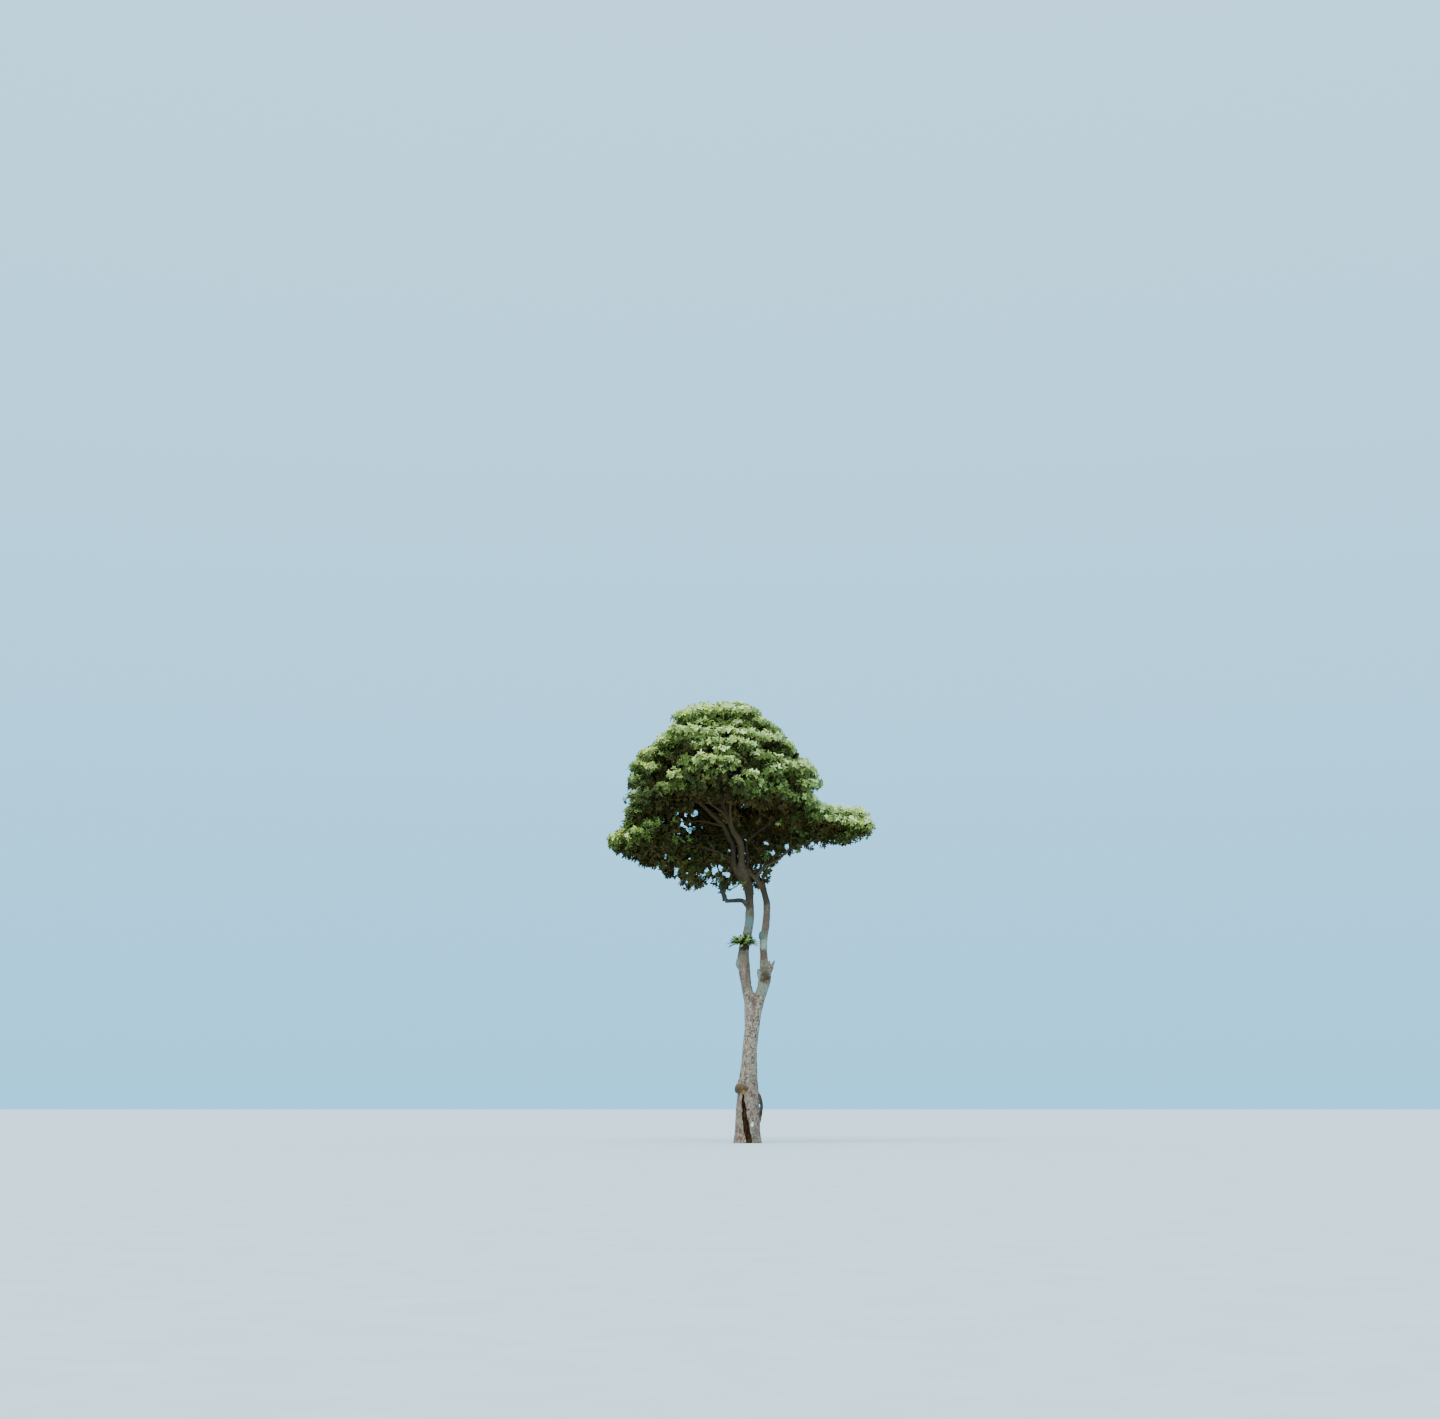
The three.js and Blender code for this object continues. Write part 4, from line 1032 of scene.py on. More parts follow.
# Billows that stand proud on the crown's front: x and z of the top as seen, radius, and how much lighter the
# billow's leaves are painted where that isn't BILLOW_LIGHT; a lift is painted light, and a drop below nought
# painted shade
BILLOW_LIGHT = 0.05
BILLOWS = [
    [-1.62, 10.86, 0.32, 0.0], [-1.02, 10.98, 0.36, 0.0], [-0.48, 10.94, 0.28, -0.03],
    [0.02, 10.93, 0.34, -0.05], [0.36, 10.66, 0.24, 0.02], [-1.84, 10.46, 0.34], [-1.4, 10.44, 0.3],
    [-0.96, 10.36, 0.24], [-0.5, 10.42, 0.3], [-0.02, 10.38, 0.27], [0.32, 10.26, 0.24],
    [-2.2, 10.16, 0.24], [-0.84, 10.13, 0.28], [-0.3, 10.14, 0.29], [-1.26, 9.99, 0.22],
    [0.08, 10.02, 0.26], [0.38, 9.8, 0.28], [0.72, 10.23, 0.32], [1.04, 10.04, 0.22], [-0.62, 9.9, 0.2],
    [-1.05, 9.7, 0.46], [-0.52, 9.66, 0.32], [0.74, 9.68, 0.26], [-1.6, 9.55, 0.18], [-2.44, 9.86, 0.34],
    [-2.76, 9.54, 0.28], [-2.42, 9.48, 0.22], [0.66, 9.44, 0.42, 0.14], [1.38, 9.52, 0.36],
    [1.02, 9.5, 0.18], [-1.74, 9.27, 0.26, 0.1], [-1.4, 9.38, 0.2], [-2.1, 8.97, 0.26, 0.1],
    [-1.72, 8.94, 0.24, 0.06], [0.14, 9.28, 0.22, 0.06], [-0.2, 9.12, 0.24, 0.08], [0.3, 9.04, 0.28, 0.16],
    [0.8, 8.98, 0.36, 0.16], [0.16, 8.84, 0.2, 0.16], [1.48, 9.02, 0.26, 0.1], [1.72, 9.04, 0.18, 0.06],
    [1.12, 8.7, 0.2, 0.16], [1.54, 8.7, 0.26, 0.16], [-2.78, 9.14, 0.28, -0.03], [-2.86, 8.7, 0.26, -0.03],
    [-2.5, 8.8, 0.22, 0.0], [-2.82, 8.32, 0.24, -0.03], [1.84, 8.4, 0.28], [2.28, 8.38, 0.28],
    [2.76, 8.34, 0.3], [3.02, 8.02, 0.24], [1.74, 8.14, 0.2], [2.2, 8.14, 0.24], [2.6, 8.08, 0.22],
    [-2.34, 8.02, 0.3, 0.12], [-2.76, 7.82, 0.27, 0.09], [-3.1, 7.66, 0.25], [-2.6, 7.62, 0.2],
    [-1.12, 9.42, 0.42, -0.04], [-0.6, 9.36, 0.28, -0.04], [-0.95, 9.18, 0.3, -0.04],
    [0.55, 8.8, 0.26, 0.16], [0.95, 8.78, 0.24, 0.16], [-1.3, 8.92, 0.26, 0.02], [-0.1, 8.92, 0.24, 0.06],
    [1.66, 8.62, 0.2, 0.12], [0.02, 8.62, 0.26, -0.25], [0.42, 8.56, 0.26, -0.25],
    [-2.74, 8.54, 0.22, -0.05],
]
# Hollows between them, where clumps stand farther in and leaves get painted shade: x and z as seen, half
# width and half height
HOLLOWS = [
    [-1.65, 9.87, 0.3, 0.16], [-1.9, 9.4, 0.22, 0.14], [-2.18, 9.25, 0.15, 0.25], [-2.0, 9.62, 0.25, 0.12],
    [-2.3, 8.85, 0.18, 0.2], [0.05, 10.6, 0.3, 0.1], [0.62, 9.9, 0.28, 0.16], [0.04, 9.45, 0.26, 0.17],
    [-0.9, 10.5, 0.35, 0.05], [1.25, 8.92, 0.2, 0.16], [-1.3, 9.72, 0.16, 0.07], [2.1, 7.85, 0.5, 0.1],
]


def front_of_cover(x, z):
    """Where the line of sight through x and z at y = 0 first meets the crown's cover, or comes nearest."""
    y = np.arange(-2.9, 1.5, 0.03)
    depth = (y - EYE[1]) / -EYE[1]
    line = np.column_stack([EYE[0] + (x - EYE[0]) * depth, y, EYE[2] + (z - EYE[2]) * depth])
    found = cover_depth(line)
    return line[np.argmax(found >= 1.0) if found.max() >= 1.0 else np.argmax(found)]


def home_of(point):
    """The name of the mass whose oval a point lies deepest in."""
    return min(masses, key=lambda name: np.linalg.norm((point - masses[name].centre) / masses[name].radii))


def flat_distances(points, middles):
    """How far each point is from each clump's middle, counted in the clump's own flattened shape."""
    return np.linalg.norm((points[:, None] - middles) / [1.0, 1.0, CLUMP_HEIGHT], axis=2)


billow_fronts = np.array([front_of_cover(x, top - 0.5 * radius) for x, top, radius, *_ in BILLOWS])
billow_radii = np.array([row[2] for row in BILLOWS])
billow_lights = np.array([row[3] if len(row) > 3 else BILLOW_LIGHT for row in BILLOWS])
billow_middles = billow_fronts + np.outer(billow_radii, [0.0, 0.45, 0.0])
billow_homes = np.array([home_of(point) for point in billow_middles])


def billow_light(points):
    """How much lighter each point's leaves are painted for the billow that it belongs to: painted light, and
    painted shade where the amount is below nought.
    """
    apart = flat_distances(points, billow_middles) / billow_radii
    return np.where(apart.min(axis=1) < 1.2, billow_lights[apart.argmin(axis=1)], 0.0)


def hollowness(points):
    """One in the middle of a hollow on the crown's front, and nothing outside or behind."""
    x, z = seen_at(points)
    apart = np.min([from_oval(x, z, hollow) for hollow in HOLLOWS], axis=0)
    return smoothstep(1.3, 0.6, apart) * smoothstep(0.4, 0.0, points[:, 1])


def clump_aims(mass, random):
    """Which way each clump lies from the middle of its mass, and whether it is one of those inside."""
    a, b, c = mass.radii
    skin = 4.0 * math.pi * (a * b + b * c + a * c) / 3.0
    count = round(mass.fill * skin / CLUMP_AREA)
    inner_count = round(count * (LOW_SHARE if mass.low else INNER_SHARE))
    outer = jittered(random, spread_directions(count, mass.pole, -1.0), 0.2)
    inner = unit(random.normal(size=(inner_count, 3)))
    return np.vstack([outer, inner]), np.arange(count + inner_count) >= count


def sunk_share(aims, at_edge, random):
    """How far out towards the crown's cover each clump stands. Those in hollows stand farther in."""
    hollow = 0.6 * smoothstep(0.05, 0.7, layered_noise(at_edge * [1.1, 1.1, 1.9], 81, 2))
    hollow = np.maximum(hollow * smoothstep(10.7, 10.3, at_edge[:, 2]), hollowness(at_edge))
    share = 1.0 - 0.38 * hollow - random.uniform(-0.04, 0.14, len(aims))
    return share - 0.2 * ((aims[:, 1] < -0.35) & (at_edge[:, 2] > LOW_MASSES))


def place_clumps(mass, random, foot):
    """The clumps of twigs of a mass: which way each lies, its radius, its middle, and if it is inside."""
    aims, inner = clump_aims(mass, random)
    edge = mass.cover_reach(aims)
    walled = mass.within_walls(aims, edge)
    buried = walled < 0.97 * edge
    out_share = sunk_share(aims, mass.centre + aims * edge[:, None], random)
    radius = np.minimum(random.uniform(*CLUMP_RADII, len(aims)), 0.6 * edge)
    half = radius * np.linalg.norm(aims * [1.0, 1.0, CLUMP_HEIGHT], axis=1)
    away = np.minimum(edge * out_share - 0.92 * half, walled)
    away = np.where(inner, walled * random.uniform(0.2, 0.6, len(aims)), away)
    middle = drawn_in(mass.centre + aims * away[:, None], 0.8 * radius)
    keep = inner | ~buried | (random.random(len(aims)) < (LOW_SHARE if mass.low else BURIED_SHARE))
    keep &= inner | (aims @ unit(foot - mass.centre) < 0.94)
    apart = flat_distances(middle, billow_middles) / (radius[:, None] + billow_radii)
    keep &= inner | (apart.min(axis=1) > 0.55)
    return aims[keep], radius[keep], middle[keep], (buried | inner)[keep]


def grow_clump_branches(stem, middle, random):
    """A branch from the stem to the middle of each clump."""
    share = random.uniform(0.35, 1.0, len(middle))
    origin = stem[np.round(share * (len(stem) - 1)).astype(int)]
    elbow = 0.5 * (origin + middle) + [0.0, 0.0, 0.06] + 0.05 * random.normal(size=origin.shape)
    paths = arc(origin[:, None], elbow[:, None], middle[:, None], 6)
    widths = np.linspace(0.013, 0.006, 6)[None] * random.uniform(0.8, 1.2, len(middle))[:, None]
    twig_shapes.append(tubes(paths, widths, 5))


def twig_ways(aims, radius, inside, random):
    """The clump of each twig and the way that it grows. Few grow downwards."""
    ways = []
    for aim, reach, sparse in zip(aims, radius, inside):
        wanted = max(8, round((0.5 if sparse else 1.0) * SPRAYS_PER_AREA * 9.4 * reach**2))
        out = jittered(random, spread_directions(wanted, aim, -0.5), 0.18)
        ways.append(out[(out[:, 2] > -0.25) | (random.random(wanted) < 0.45)])
    return np.repeat(np.arange(len(ways)), [len(out) for out in ways]), np.vstack(ways)


def kept_in(mass, ends, proud):
    """The twigs' ends, moved back under the crown's cover. Those of proud clumps may stand out of it."""
    offset = ends - mass.centre
    heading = unit(offset)
    limit = mass.within_walls(heading, mass.cover_reach(heading), WALL_CROSSING) - 0.05
    limit += 0.25 * proud
    ends = mass.centre + heading * np.minimum(np.linalg.norm(offset, axis=1), limit)[:, None]
    ends[:, 1] = np.maximum(ends[:, 1], FRONT_LIMIT)
    return ends


def with_billows(mass, aims, radius, middle, inside):
    """The mass's clumps with its billows after them, and which of them stand proud."""
    own = billow_homes == mass.name
    proud = np.arange(len(aims) + own.sum()) >= len(aims)
    aims = np.vstack([aims, unit(billow_fronts[own] - mass.centre)])
    radius = np.concatenate([radius, billow_radii[own]])
    middle = np.vstack([middle, billow_middles[own]])
    inside = np.concatenate([inside, np.zeros(own.sum(), bool)])
    return aims, radius, middle, inside, proud


def add_forks(root, end, out, axis, size, label, random):
    """A short side twig, with a spray of its own, on most of the twigs."""
    forked = random.random(len(out)) < FORKED_SHARE
    root = root[forked]
    way = end[forked] - root
    fork = root + random.uniform(0.45, 0.8, len(root))[:, None] * way
    side = unit(np.cross(way, random.normal(size=root.shape)))
    at = fork + 0.012 * side
    low = out[forked, 2] - 0.2
    keep_sprays(fork, at, unit(axis[forked] + side), low, size[forked], np.full(len(at), 4), label[forked])


def grow_mass(number, mass, random):
    """The stem, its branches and the clumps of twigs they end in. Each twig's end is kept as a spray."""
    foot = mass.tip - 0.02 * mass.heading
    bend = foot + mass.heading * 0.4 * np.linalg.norm(mass.centre - foot)
    stem = arc_path(foot, bend, mass.centre, 13)
    twig_shapes.append(tubes([stem], [np.linspace(mass.tip_radius, 0.014, 13)], 8))
    aims, radius, middle, inside, proud = with_billows(mass, *place_clumps(mass, random, foot))
    grow_clump_branches(stem, middle, random)
    clump, out = twig_ways(aims, radius, inside, random)
    length = radius[clump] * random.uniform(*TWIG_SHARES, len(out))
    stray = random.random(len(out)) < STRAY_SHARE
    length += np.where(stray, random.uniform(*STRAY_LENGTHS, len(out)), 0.0)
    ends = middle[clump] + out * length[:, None] * [1.0, 1.0, CLUMP_HEIGHT]
    free = inside[clump] | ~inside_another(ends, clump, middle, radius)
    clump = clump[free]
    out = out[free]
    ends = kept_in(mass, ends[free], proud[clump])
    axis = unit(out + 0.35 * aims[clump] + [0.0, 0.0, 0.3])
    size = np.where(inside[clump], INNER_SIZE, 1.0)
    leaves = random.integers(*LEAF_NUMBERS, len(out))
    label = 1000 * number + clump
    keep_sprays(middle[clump], ends, axis, out[:, 2], size, leaves, label)
    add_forks(middle[clump], ends, out, axis, size, label, random)


def inside_another(ends, clump, middle, radius):
    """Whether each end lies well inside a clump that isn't its own."""
    apart = flat_distances(ends, middle) / radius
    apart[np.arange(len(ends)), clump] = np.inf
    return apart.min(axis=1) < 0.8


def keep_sprays(*values):
    """Adds sprays, given in the order of the keys of sprays."""
    for name, value in zip(sprays, values):
        sprays[name].append(value)


# Boughs with leafy twigs of their own: from and to as shares of the length, how many twigs, their longest
# reach and the way they lean
LEAFY_BOUGHS = [
    ["bough_right_low", 0.36, 1.0, 200, 0.42, [0.0, 0.3, 0.7]],
    ["bough_right_high", 0.4, 1.0, 90, 0.35, [0.0, 0.3, 0.2]],
    ["bough_right_high", 0.12, 0.4, 44, 0.26, [0.6, 0.0, -0.3]],
    ["bough_left_long", 0.3, 1.0, 110, 0.32, [0.0, 0.3, 0.0]],
    ["bough_left_low", 0.0, 1.0, 190, 0.4, [0.0, 0.7, -0.1]],
    ["twisted_bough_rise", 0.5, 1.0, 80, 0.32, [0.2, 0.4, 0.1]],
    ["leader_left", 0.0, 0.3, 130, 0.5, [-0.3, 1.5, -0.2]],
    ["leader_middle", 0.0, 0.26, 110, 0.5, [0.0, 1.5, -0.2]],
    ["leader_right", 0.0, 1.0, 200, 0.5, [0.4, 1.0, 0.0]],
    ["leader_middle", 0.26, 0.6, 130, 0.5, [0.3, 1.5, 0.0]],
    ["stem_link", 0.3, 0.9, 50, 0.4, [0.4, 1.3, 0.3]],
]


def grow_along(number, random):
    """Small leafy twigs along a stretch of a bough."""
    name, start, end, count, reach, lean = LEAFY_BOUGHS[number]
    share = random.uniform(start, end, count)
    root = boughs[name]["path"][np.round(STEPS * share).astype(int)]
    out = unit(random.normal(size=(count, 3)) * [1.0, 1.0, 0.7] + lean)
    ends = root + out * random.uniform(0.1, reach, count)[:, None]
    leaves = random.integers(*LEAF_NUMBERS, count)
    label = 100000 + 100 * number + np.round(10 * share).astype(int)
    keep_sprays(root, ends, unit(out + [0.0, 0.0, 0.2]), out[:, 2], np.full(count, 1.1), leaves, label)


def grow_sprays():
    """Fills sprays, and leaves out those too near a limb, in the ragged foot or past the crown's sides."""
    for number, mass in enumerate(masses.values()):
        grow_mass(number, mass, np.random.default_rng(100 + number))
    for number in range(len(LEAFY_BOUGHS)):
        grow_along(number, np.random.default_rng(200 + number))
    for key, value in sprays.items():
        sprays[key] = np.concatenate(value)
    at = sprays["at"]
    ragged = (at[:, 2] < RAGGED_HEIGHT) & (layered_noise(at * 4.5, 91, 2) > 0.55)
    beyond = np.abs(drawn_in(at, 0.0) - at).max(axis=1) > 0.03
    keep = clear_of_limbs(at, 0.05) & ~ragged & ~beyond
    for key, value in sprays.items():
        sprays[key] = value[keep]


def twig_spikes(roots, ends):
    """Slender three-sided twigs that taper to a point."""
    side, other = square_to(unit(ends - roots))
    points = np.empty((len(roots), 4, 3))
    for k in range(3):
        angle = 2 * math.pi * k / 3
        points[:, k] = roots + TWIG_RADIUS * (math.cos(angle) * side + math.sin(angle) * other)
    points[:, 3] = ends
    one = np.array([[0, 1, 3], [1, 2, 3], [2, 0, 3]])
    faces = one[None] + 4 * np.arange(len(roots))[:, None, None]
    return points.reshape(-1, 3), faces.reshape(-1, 3)


# One leaf, folded along its midrib: share along it, share of its width across, and rise as a share of its
# length
LEAF_OUTLINE = np.array([
    [0.0, 0.0, 0.0], [0.28, 0.46, 0.07], [0.7, 0.42, 0.04], [1.0, 0.0, -0.08], [0.7, -0.42, 0.04],
    [0.28, -0.46, 0.07],
])
LEAF_FACES = np.array([[0, 1, 2], [0, 2, 3], [0, 3, 4], [0, 4, 5]])
LEAF_LENGTH = 0.098
LEAF_WIDTH = 0.46
LEAF_DROOP = 0.22
# How far leaves lean out from the twig, in degrees, and the turn from one to the next
LEAF_SPLAY = (38.0, 88.0)
WHORL_TURN = 2.4
# Limbs that show in front of the leaves: from and to as shares of the length
BARE_STRETCHES = [
    ["bough_right_low", 0.0, 0.55], ["bough_right_high", 0.0, 0.2], ["bough_left_long", 0.0, 0.4],
    ["bough_left_low", 0.0, 0.3], ["leader_left", 0.0, 0.6], ["leader_middle", 0.0, 0.8],
]


def hides_limb(points):
    """Whether each point lies in front of a limb that shows."""
    x, z = seen_at(points)
    found = np.zeros(len(points), bool)
    for name, start, end in BARE_STRETCHES:
        part = slice(round(STEPS * start), round(STEPS * end) + 1, 2)
        path = boughs[name]["path"][part]
        for place, limb_x, limb_z, width in zip(path, *seen_at(path), girths(boughs[name])[part]):
            near = np.hypot(x - limb_x, z - limb_z) < width + 0.015
            found |= near & (points[:, 1] < place[1])
    return found


def leaf_ways(owner, random):
    """The axis of each leaf's whorl, the way along the leaf and the way that its upper side faces."""
    place = np.concatenate([np.arange(n) for n in sprays["leaves"]])
    axis = unit(sprays["axis"][owner] + 0.1 * random.normal(size=(len(owner), 3)))
    azimuth = place * WHORL_TURN + 6.28 * random.random(len(sprays["at"]))[owner]
    splay = np.radians(random.uniform(*LEAF_SPLAY, len(owner)))
    side, other = square_to(axis)
    across = np.cos(azimuth)[:, None] * side + np.sin(azimuth)[:, None] * other
    along = np.cos(splay)[:, None] * axis + np.sin(splay)[:, None] * across
    along = unit(along - [0.0, 0.0, LEAF_DROOP])
    face = unit(axis - (axis * along).sum(axis=1, keepdims=True) * along)
    return axis, along, face


def grow_leaves(random):
    """Whorls of leaves round the ends of the twigs: for each leaf its spray and its points."""
    owner = np.repeat(np.arange(len(sprays["at"])), sprays["leaves"])
    axis, along, face = leaf_ways(owner, random)
    length = LEAF_LENGTH * sprays["size"][owner] * random.uniform(0.78, 1.2, len(owner))
    root = sprays["at"][owner] - axis * 0.03 * random.random(len(owner))[:, None]
    parts = [(length, along), (LEAF_WIDTH * length, np.cross(along, face)), (length, face)]
    points = root[:, None]
    for outline, (scale, way) in zip(LEAF_OUTLINE.T, parts):
        points = points + (scale[:, None] * outline)[:, :, None] * way[:, None]
    middle = 0.5 * (points[:, 0] + points[:, 3])
    keep = clear_of_limbs(points[:, 3], 0.01) & ~in_opening(middle) & ~hides_limb(middle)
    return owner[keep], points[keep]


# The colours from darkest to palest, each with the share of the outer sprays that are darker than it. The
# sprays are ranked by their light, so these tones are painted light and shade
TONES = [["dark", 0.0], ["shade", 0.12], ["deep", 0.32], ["middle", 0.52], ["fresh", 0.69], ["mint", 0.83]]
# Where leaves inside the crown get painted light or lie in deeper painted shade: x and z as seen, half
# width, half height and colour
LIGHT_AND_SHADE_SPOTS = [
    [-1.55, 7.53, 0.42, 0.07, "fresh"], [-1.62, 7.54, 0.14, 0.08, "lime"], [-1.27, 7.6, 0.11, 0.07, "lime"],
    [0.47, 7.11, 0.12, 0.09, "fresh"], [0.87, 7.96, 0.09, 0.06, "fresh"], [1.26, 8.0, 0.14, 0.25, "middle"],
    [-1.58, 6.35, 0.09, 0.08, "fresh"], [0.55, 8.56, 0.48, 0.15, "umber"], [-1.35, 8.6, 0.7, 0.14, "umber"],
    [0.03, 9.45, 0.24, 0.14, "shade"], [1.25, 8.33, 0.22, 0.12, "umber"], [-1.6, 9.78, 0.34, 0.2, "shade"],
    [0.8, 9.92, 0.28, 0.14, "shade"], [-2.15, 9.3, 0.22, 0.28, "shade"], [1.35, 8.82, 0.16, 0.1, "shade"],
    [2.02, 7.82, 0.45, 0.19, "umber"],
]


def spray_light():
    """The light on each spray, partly its own and partly that of its whole clump."""
    own = openness(sprays["at"])
    group = np.unique(sprays["clump"], return_inverse=True)[1]
    shared = np.bincount(group, own) / np.bincount(group)
    return 0.5 * own + 0.5 * shared[group]


def spray_scores(light, random):
    """How pale each spray should be, by its light, its height on its clump and its place in the crown:
    painted light on the tops of clumps and billows, painted shade below them and in hollows.
    """
    at = sprays["at"]
    rise = np.clip((sprays["local_up"] + 0.3) / 1.3, 0.0, 1.0)
    score = np.sqrt(light) * (0.3 + 0.7 * rise) + 0.07 * random.normal(size=len(at))
    score += 0.03 * layered_noise(at * 1.3, 61, 2) + 0.12 * smoothstep(1.0, 1.7, at[:, 0])
    score += 0.08 * smoothstep(9.5, 10.2, at[:, 2])
    score += billow_light(at) - 0.14 * hollowness(at)
    return score + 0.05 * smoothstep(-2.0, -2.5, at[:, 0]) * (at[:, 2] < LOW_MASSES)


def paint_light_and_shade(names, random):
    """Recolours most sprays in places of painted light or painted shade. A dull colour, painted shade,
    spares the pale sprays.
    """
    at = sprays["at"]
    x, z = seen_at(at)
    for *oval, name in LIGHT_AND_SHADE_SPOTS:
        near = (from_oval(x, z, oval) < 1.0) & (at[:, 1] < 0.3)
        if name in DULL_LEAVES:
            near &= ~np.isin(names, PALE_LEAVES)
        names[near & (random.random(len(at)) < 0.6)] = name


def spray_colours(random):
    """Deals out the colours by the light on each spray: pale leaves, partly young growth and partly painted
    light, on top of the billows, and dark ones, painted shade, below and inside.
    """
    at = sprays["at"]
    light = spray_light()
    score = spray_scores(light, random)
    outer = score[sprays["size"] < OUTER_SIZE]
    drift = layered_noise(at * 0.6, 71, 2) + 0.5 * random.normal(size=len(at))
    names = np.full(len(at), "dark", dtype="<U8")
    for name, share in TONES:
        names[score >= (np.quantile(outer, share) if share else -1.0)] = name
    pale = names == "mint"
    names[pale & ((drift > 0.1) | (at[:, 0] < -2.4))] = "lime"
    names[pale & (random.random(len(at)) < 0.22 + 0.3 * (at[:, 0] > 1.6))] = "cream"
    # Low down the painted shade turns brown, and high up it stays dark green. Brown sprays that get more
    # light or stand at the front take the deeper umber
    low = at[:, 2] < LOW_MASSES
    names[(names == "shade") & low & (random.random(len(at)) < 0.75)] = "dark"
    names[(names == "deep") & low & (random.random(len(at)) < 0.4)] = "shade"
    names[(names == "dark") & (at[:, 2] > 8.9)] = "shade"
    dark = names == "dark"
    names[dark & ((light > np.quantile(light[dark], 0.3)) | (at[:, 1] < -0.8))] = "umber"
    paint_light_and_shade(names, random)
    return names


PIECE_TRIANGLES = 190000


def leaf_pieces(owner, points, names):
    """Joins the leaves of each colour into pieces of at most PIECE_TRIANGLES triangles."""
    limit = PIECE_TRIANGLES // len(LEAF_FACES)
    made = []
    for name, colour in LEAF_COLOURS.items():
        own = points[names[owner] == name]
        if not len(own):
            continue
        shine = DULL_SHINE if name in DULL_LEAVES else LEAF_SHINE
        material = leaf_material(f"leaf_{name}", srgb(*colour), shine)
        for start in range(0, len(own), limit):
            part = own[start : start + limit]
            corners = len(LEAF_OUTLINE) * np.arange(len(part))[:, None, None]
            faces = (LEAF_FACES[None] + corners).reshape(-1, 3)
            label = f"leaves_{name}_{start // limit + 1}"
            made.append(mesh_object(label, part.reshape(-1, 3), faces, material, smooth=False))
    return made


# The tuft of strap leaves on the left stem

TUFT = np.array([-0.1, -0.12, 4.88])
STRAPS = 150
STRAP_STEPS = 8
# Triangles of a pale-ended leaf that are green
GREEN_TRIANGLES = 18


def strap(azimuth, rise, length, width, droop):
    """A strap leaf with a channel down its middle, arching over by its own weight."""
    way = way_of(azimuth, rise)
    side = unit(np.cross([0.0, 0.0, 1.0], way))
    hollow = np.cross(side, way)
    t = np.linspace(0.0, 1.0, STRAP_STEPS + 1)
    foot = TUFT + [0.12 * math.cos(azimuth), 0.03 * math.sin(azimuth), 0.0]
    middle = foot + way * (length * t)[:, None]
    middle[:, 2] -= droop * length * t**2.4
    half = 0.5 * width * (0.5 + 1.1 * t) * np.sqrt(np.maximum(0.0, 1.0 - t**3)) + 0.001
    across = side * half[:, None]
    rows = np.stack([middle + across, middle + 0.3 * hollow * half[:, None], middle - across], 1)
    faces = []
    for i in range(STRAP_STEPS):
        for a in (3 * i, 3 * i + 1):
            faces += [[a, a + 1, a + 4], [a, a + 4, a + 3]]
    return rows.reshape(-1, 3), np.array(faces)


def tuft_shapes():
    """A rosette that spreads to both sides and to the front: its green, dark and pale parts.

    Each third leaf is dark, and some of the others have a pale end.
    """
    random = np.random.default_rng(5)
    green = []
    dark = []
    pale = []
    for i in range(STRAPS):
        azimuth = math.radians(150.0 + 240.0 * ((i * 0.618) % 1.0))
        rise = math.radians(-6.0 + 84.0 * ((i * 0.755) % 1.0))
        length = random.uniform(0.22, 0.34) * (1.0 - 0.2 * math.sin(rise) ** 2)
        width = random.uniform(0.045, 0.065)
        points, faces = strap(azimuth, rise, length, width, random.uniform(0.05, 0.35))
        if i % 3 == 0:
            dark.append((points, faces))
        elif i % 4 == 0 or (rise > 0.5 and i % 2):
            green.append((points, faces[:GREEN_TRIANGLES]))
            pale.append((points, faces[GREEN_TRIANGLES:]))
        else:
            green.append((points, faces))
    return joined(green), joined(dark), joined(pale)


def add_tuft():
    green, dark, pale = tuft_shapes()
    clump = knob(TUFT + [0.02, 0.04, -0.03], [0.1, 0.09, 0.07], 9)
    looks = [
        ["tuft_leaves", green, "tuft_green", (122, 150, 58), LEAF_SHINE],
        ["tuft_dark_leaves", dark, "tuft_dark", (50, 68, 26), 0.1],
        ["tuft_tips", pale, "tuft_tips", (200, 204, 132), LEAF_SHINE],
        ["tuft_clump", clump, "tuft_root", (50, 40, 24), 0.1],
    ]
    return [
        mesh_object(name, *shape, leaf_material(label, srgb(*colour), shine))
        for name, shape, label, colour, shine in looks
    ]


# Floor and light

FLOOR_HALF = 400.0
KEY_STRENGTH = 3.4
KEY_ANGLES = (28.0, -16.0, 0.0)
KEY_SOFTNESS = 50.0
DOME_STRENGTH = 2.08
# The light from all round: how high up, and its colour there
DOME_COLOURS = [[0.0, (118, 196, 236)], [0.6, (174, 220, 246)]]


def add_floor():
    s = Shader("floor")
    colour = s.mix(s.ramp(s.noise(2.0, 1.0, 3.0), 0.3, 0.7), srgb(204, 208, 208), srgb(212, 215, 214))
    s.feed(s.principled.inputs, {"Base Color": colour, "Roughness": 0.95})
    corners = FLOOR_HALF * np.array([[-1, -1, 0], [1, -1, 0], [1, 1, 0], [-1, 1, 0]])
    floor = mesh_object("floor", corners, np.array([[0, 1, 2], [0, 2, 3]]), s.material)
    floor.location.z = -0.002


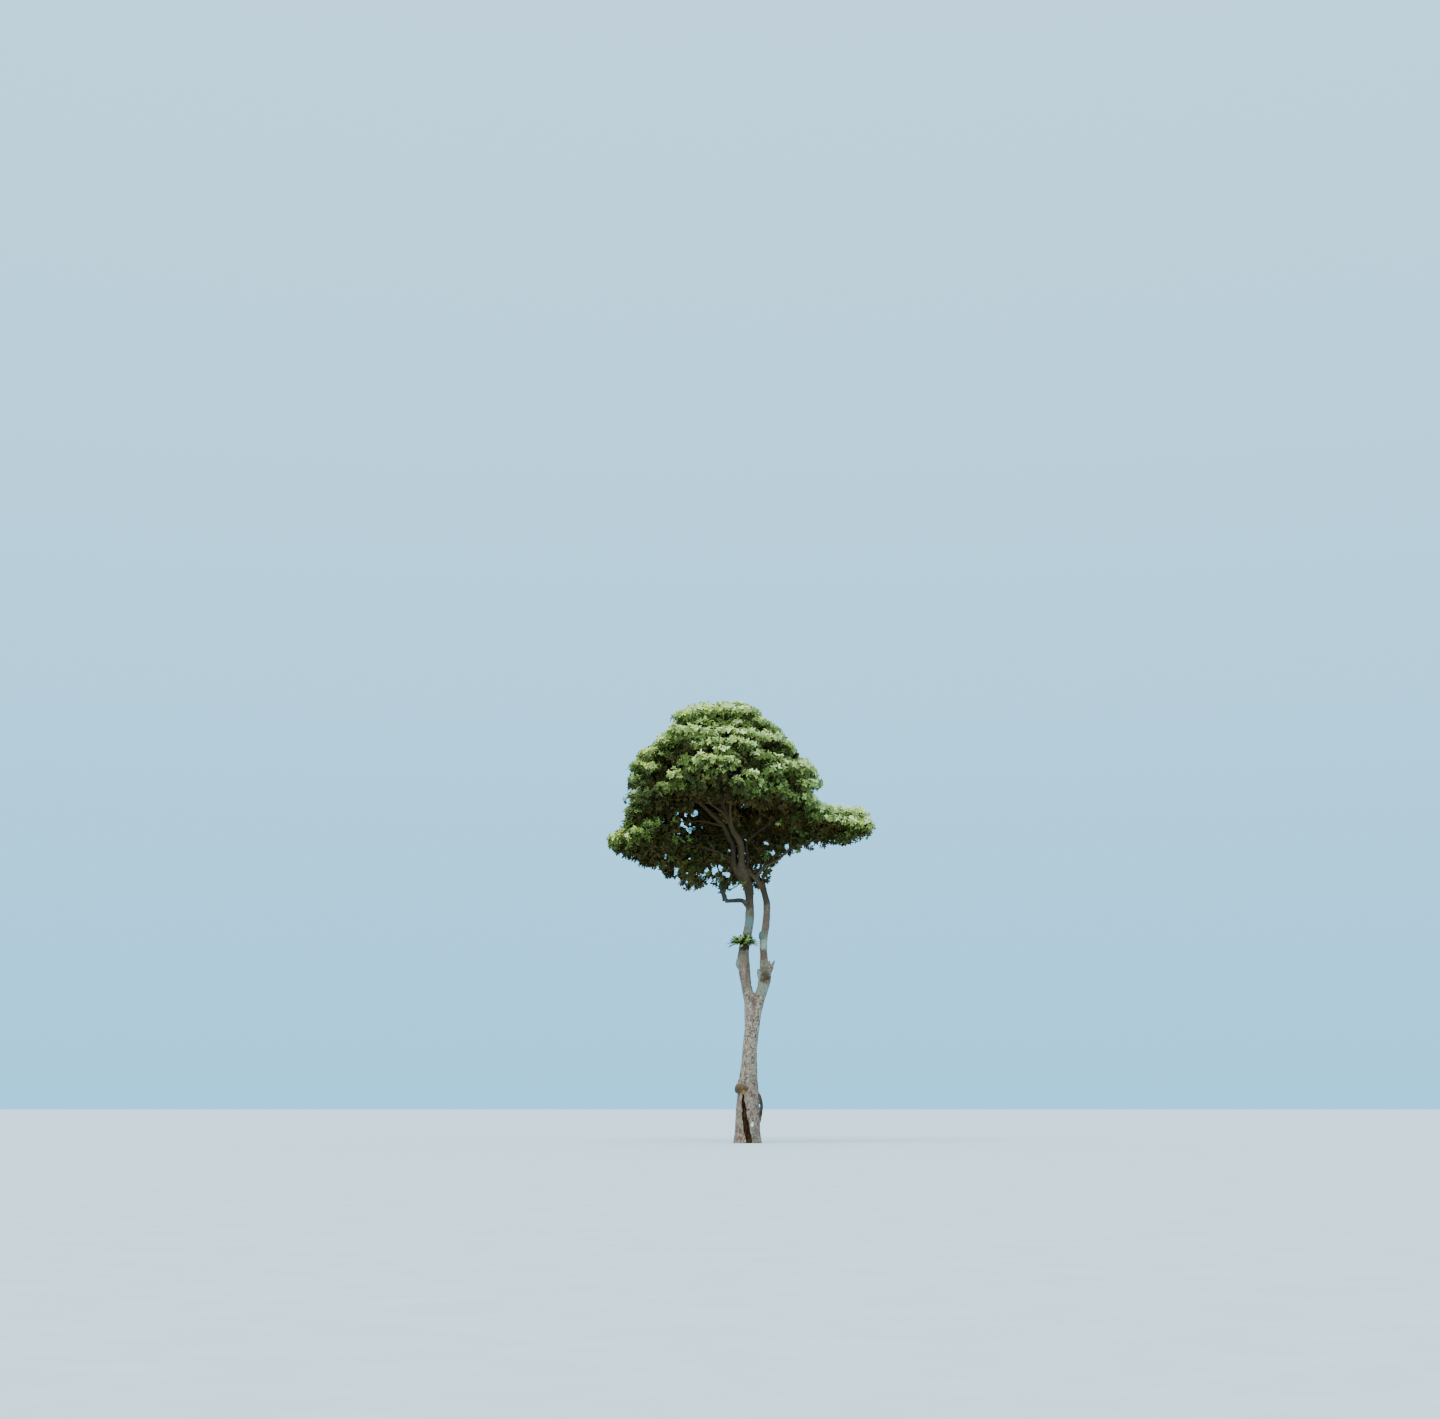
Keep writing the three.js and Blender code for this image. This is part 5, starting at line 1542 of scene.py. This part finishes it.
def add_key():
    sun = bpy.data.lights.new("key", "SUN")
    sun.energy = KEY_STRENGTH
    sun.angle = math.radians(KEY_SOFTNESS)
    put("key", sun).rotation_euler = [math.radians(angle) for angle in KEY_ANGLES]


def add_dome():
    world = bpy.data.worlds.new("dome")
    bpy.context.scene.world = world
    world.use_nodes = True
    tree = world.node_tree
    place = tree.nodes.new("ShaderNodeTexCoord")
    split = tree.nodes.new("ShaderNodeSeparateXYZ")
    ramp = tree.nodes.new("ShaderNodeValToRGB")
    for element, (position, colour) in zip(ramp.color_ramp.elements, DOME_COLOURS):
        element.position = position
        element.color = srgb(*colour)
    tree.links.new(place.outputs["Generated"], split.inputs[0])
    tree.links.new(split.outputs["Z"], ramp.inputs["Fac"])
    tree.links.new(ramp.outputs["Color"], tree.nodes["Background"].inputs["Color"])
    tree.nodes["Background"].inputs["Strength"].default_value = DOME_STRENGTH


# Building

bark = bark_material()
stems = mesh_object("bark_stems", *joined(stem_shapes()), bark)
remesh(stems, 3)
add_relief(stems, hollow=DISH)
line_slit(stems, hollow_material())

limb_shapes = [bough_shape(name, 20, 0.02) for name in SHOWN_LIMBS] + bare_twigs()
limbs = mesh_object("bark_boughs", *joined(limb_shapes), bark)
remesh(limbs, 2)
add_relief(limbs, 0.45)

hidden_boughs = [name for name in boughs if name not in SHOWN_LIMBS]
crown_shapes = [bough_shape(name, 10, 0.04) for name in hidden_boughs]
crown_boughs = mesh_object("bark_crown_boughs", *joined(crown_shapes), bark)

grow_sprays()
twig_shapes.append(twig_spikes(sprays["root"], sprays["at"]))
twigs = mesh_object("twigs", *joined(twig_shapes), twig_material(), smooth=False)
leaf_random = np.random.default_rng(7)
owner, leaf_points = grow_leaves(leaf_random)
leaves = leaf_pieces(owner, leaf_points, spray_colours(leaf_random))
tuft = add_tuft()
add_floor()
add_key()
add_dome()

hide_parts("trunk", "left_stem", "right_stem")
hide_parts(*SHOWN_LIMBS)
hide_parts(*hidden_boughs)
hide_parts(*masses)
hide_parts("leaf_tuft")
for piece in (stems, limbs, crown_boughs, twigs):
    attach(piece, "root")
for piece in leaves:
    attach(piece, "root")
for piece in tuft:
    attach(piece, "root")
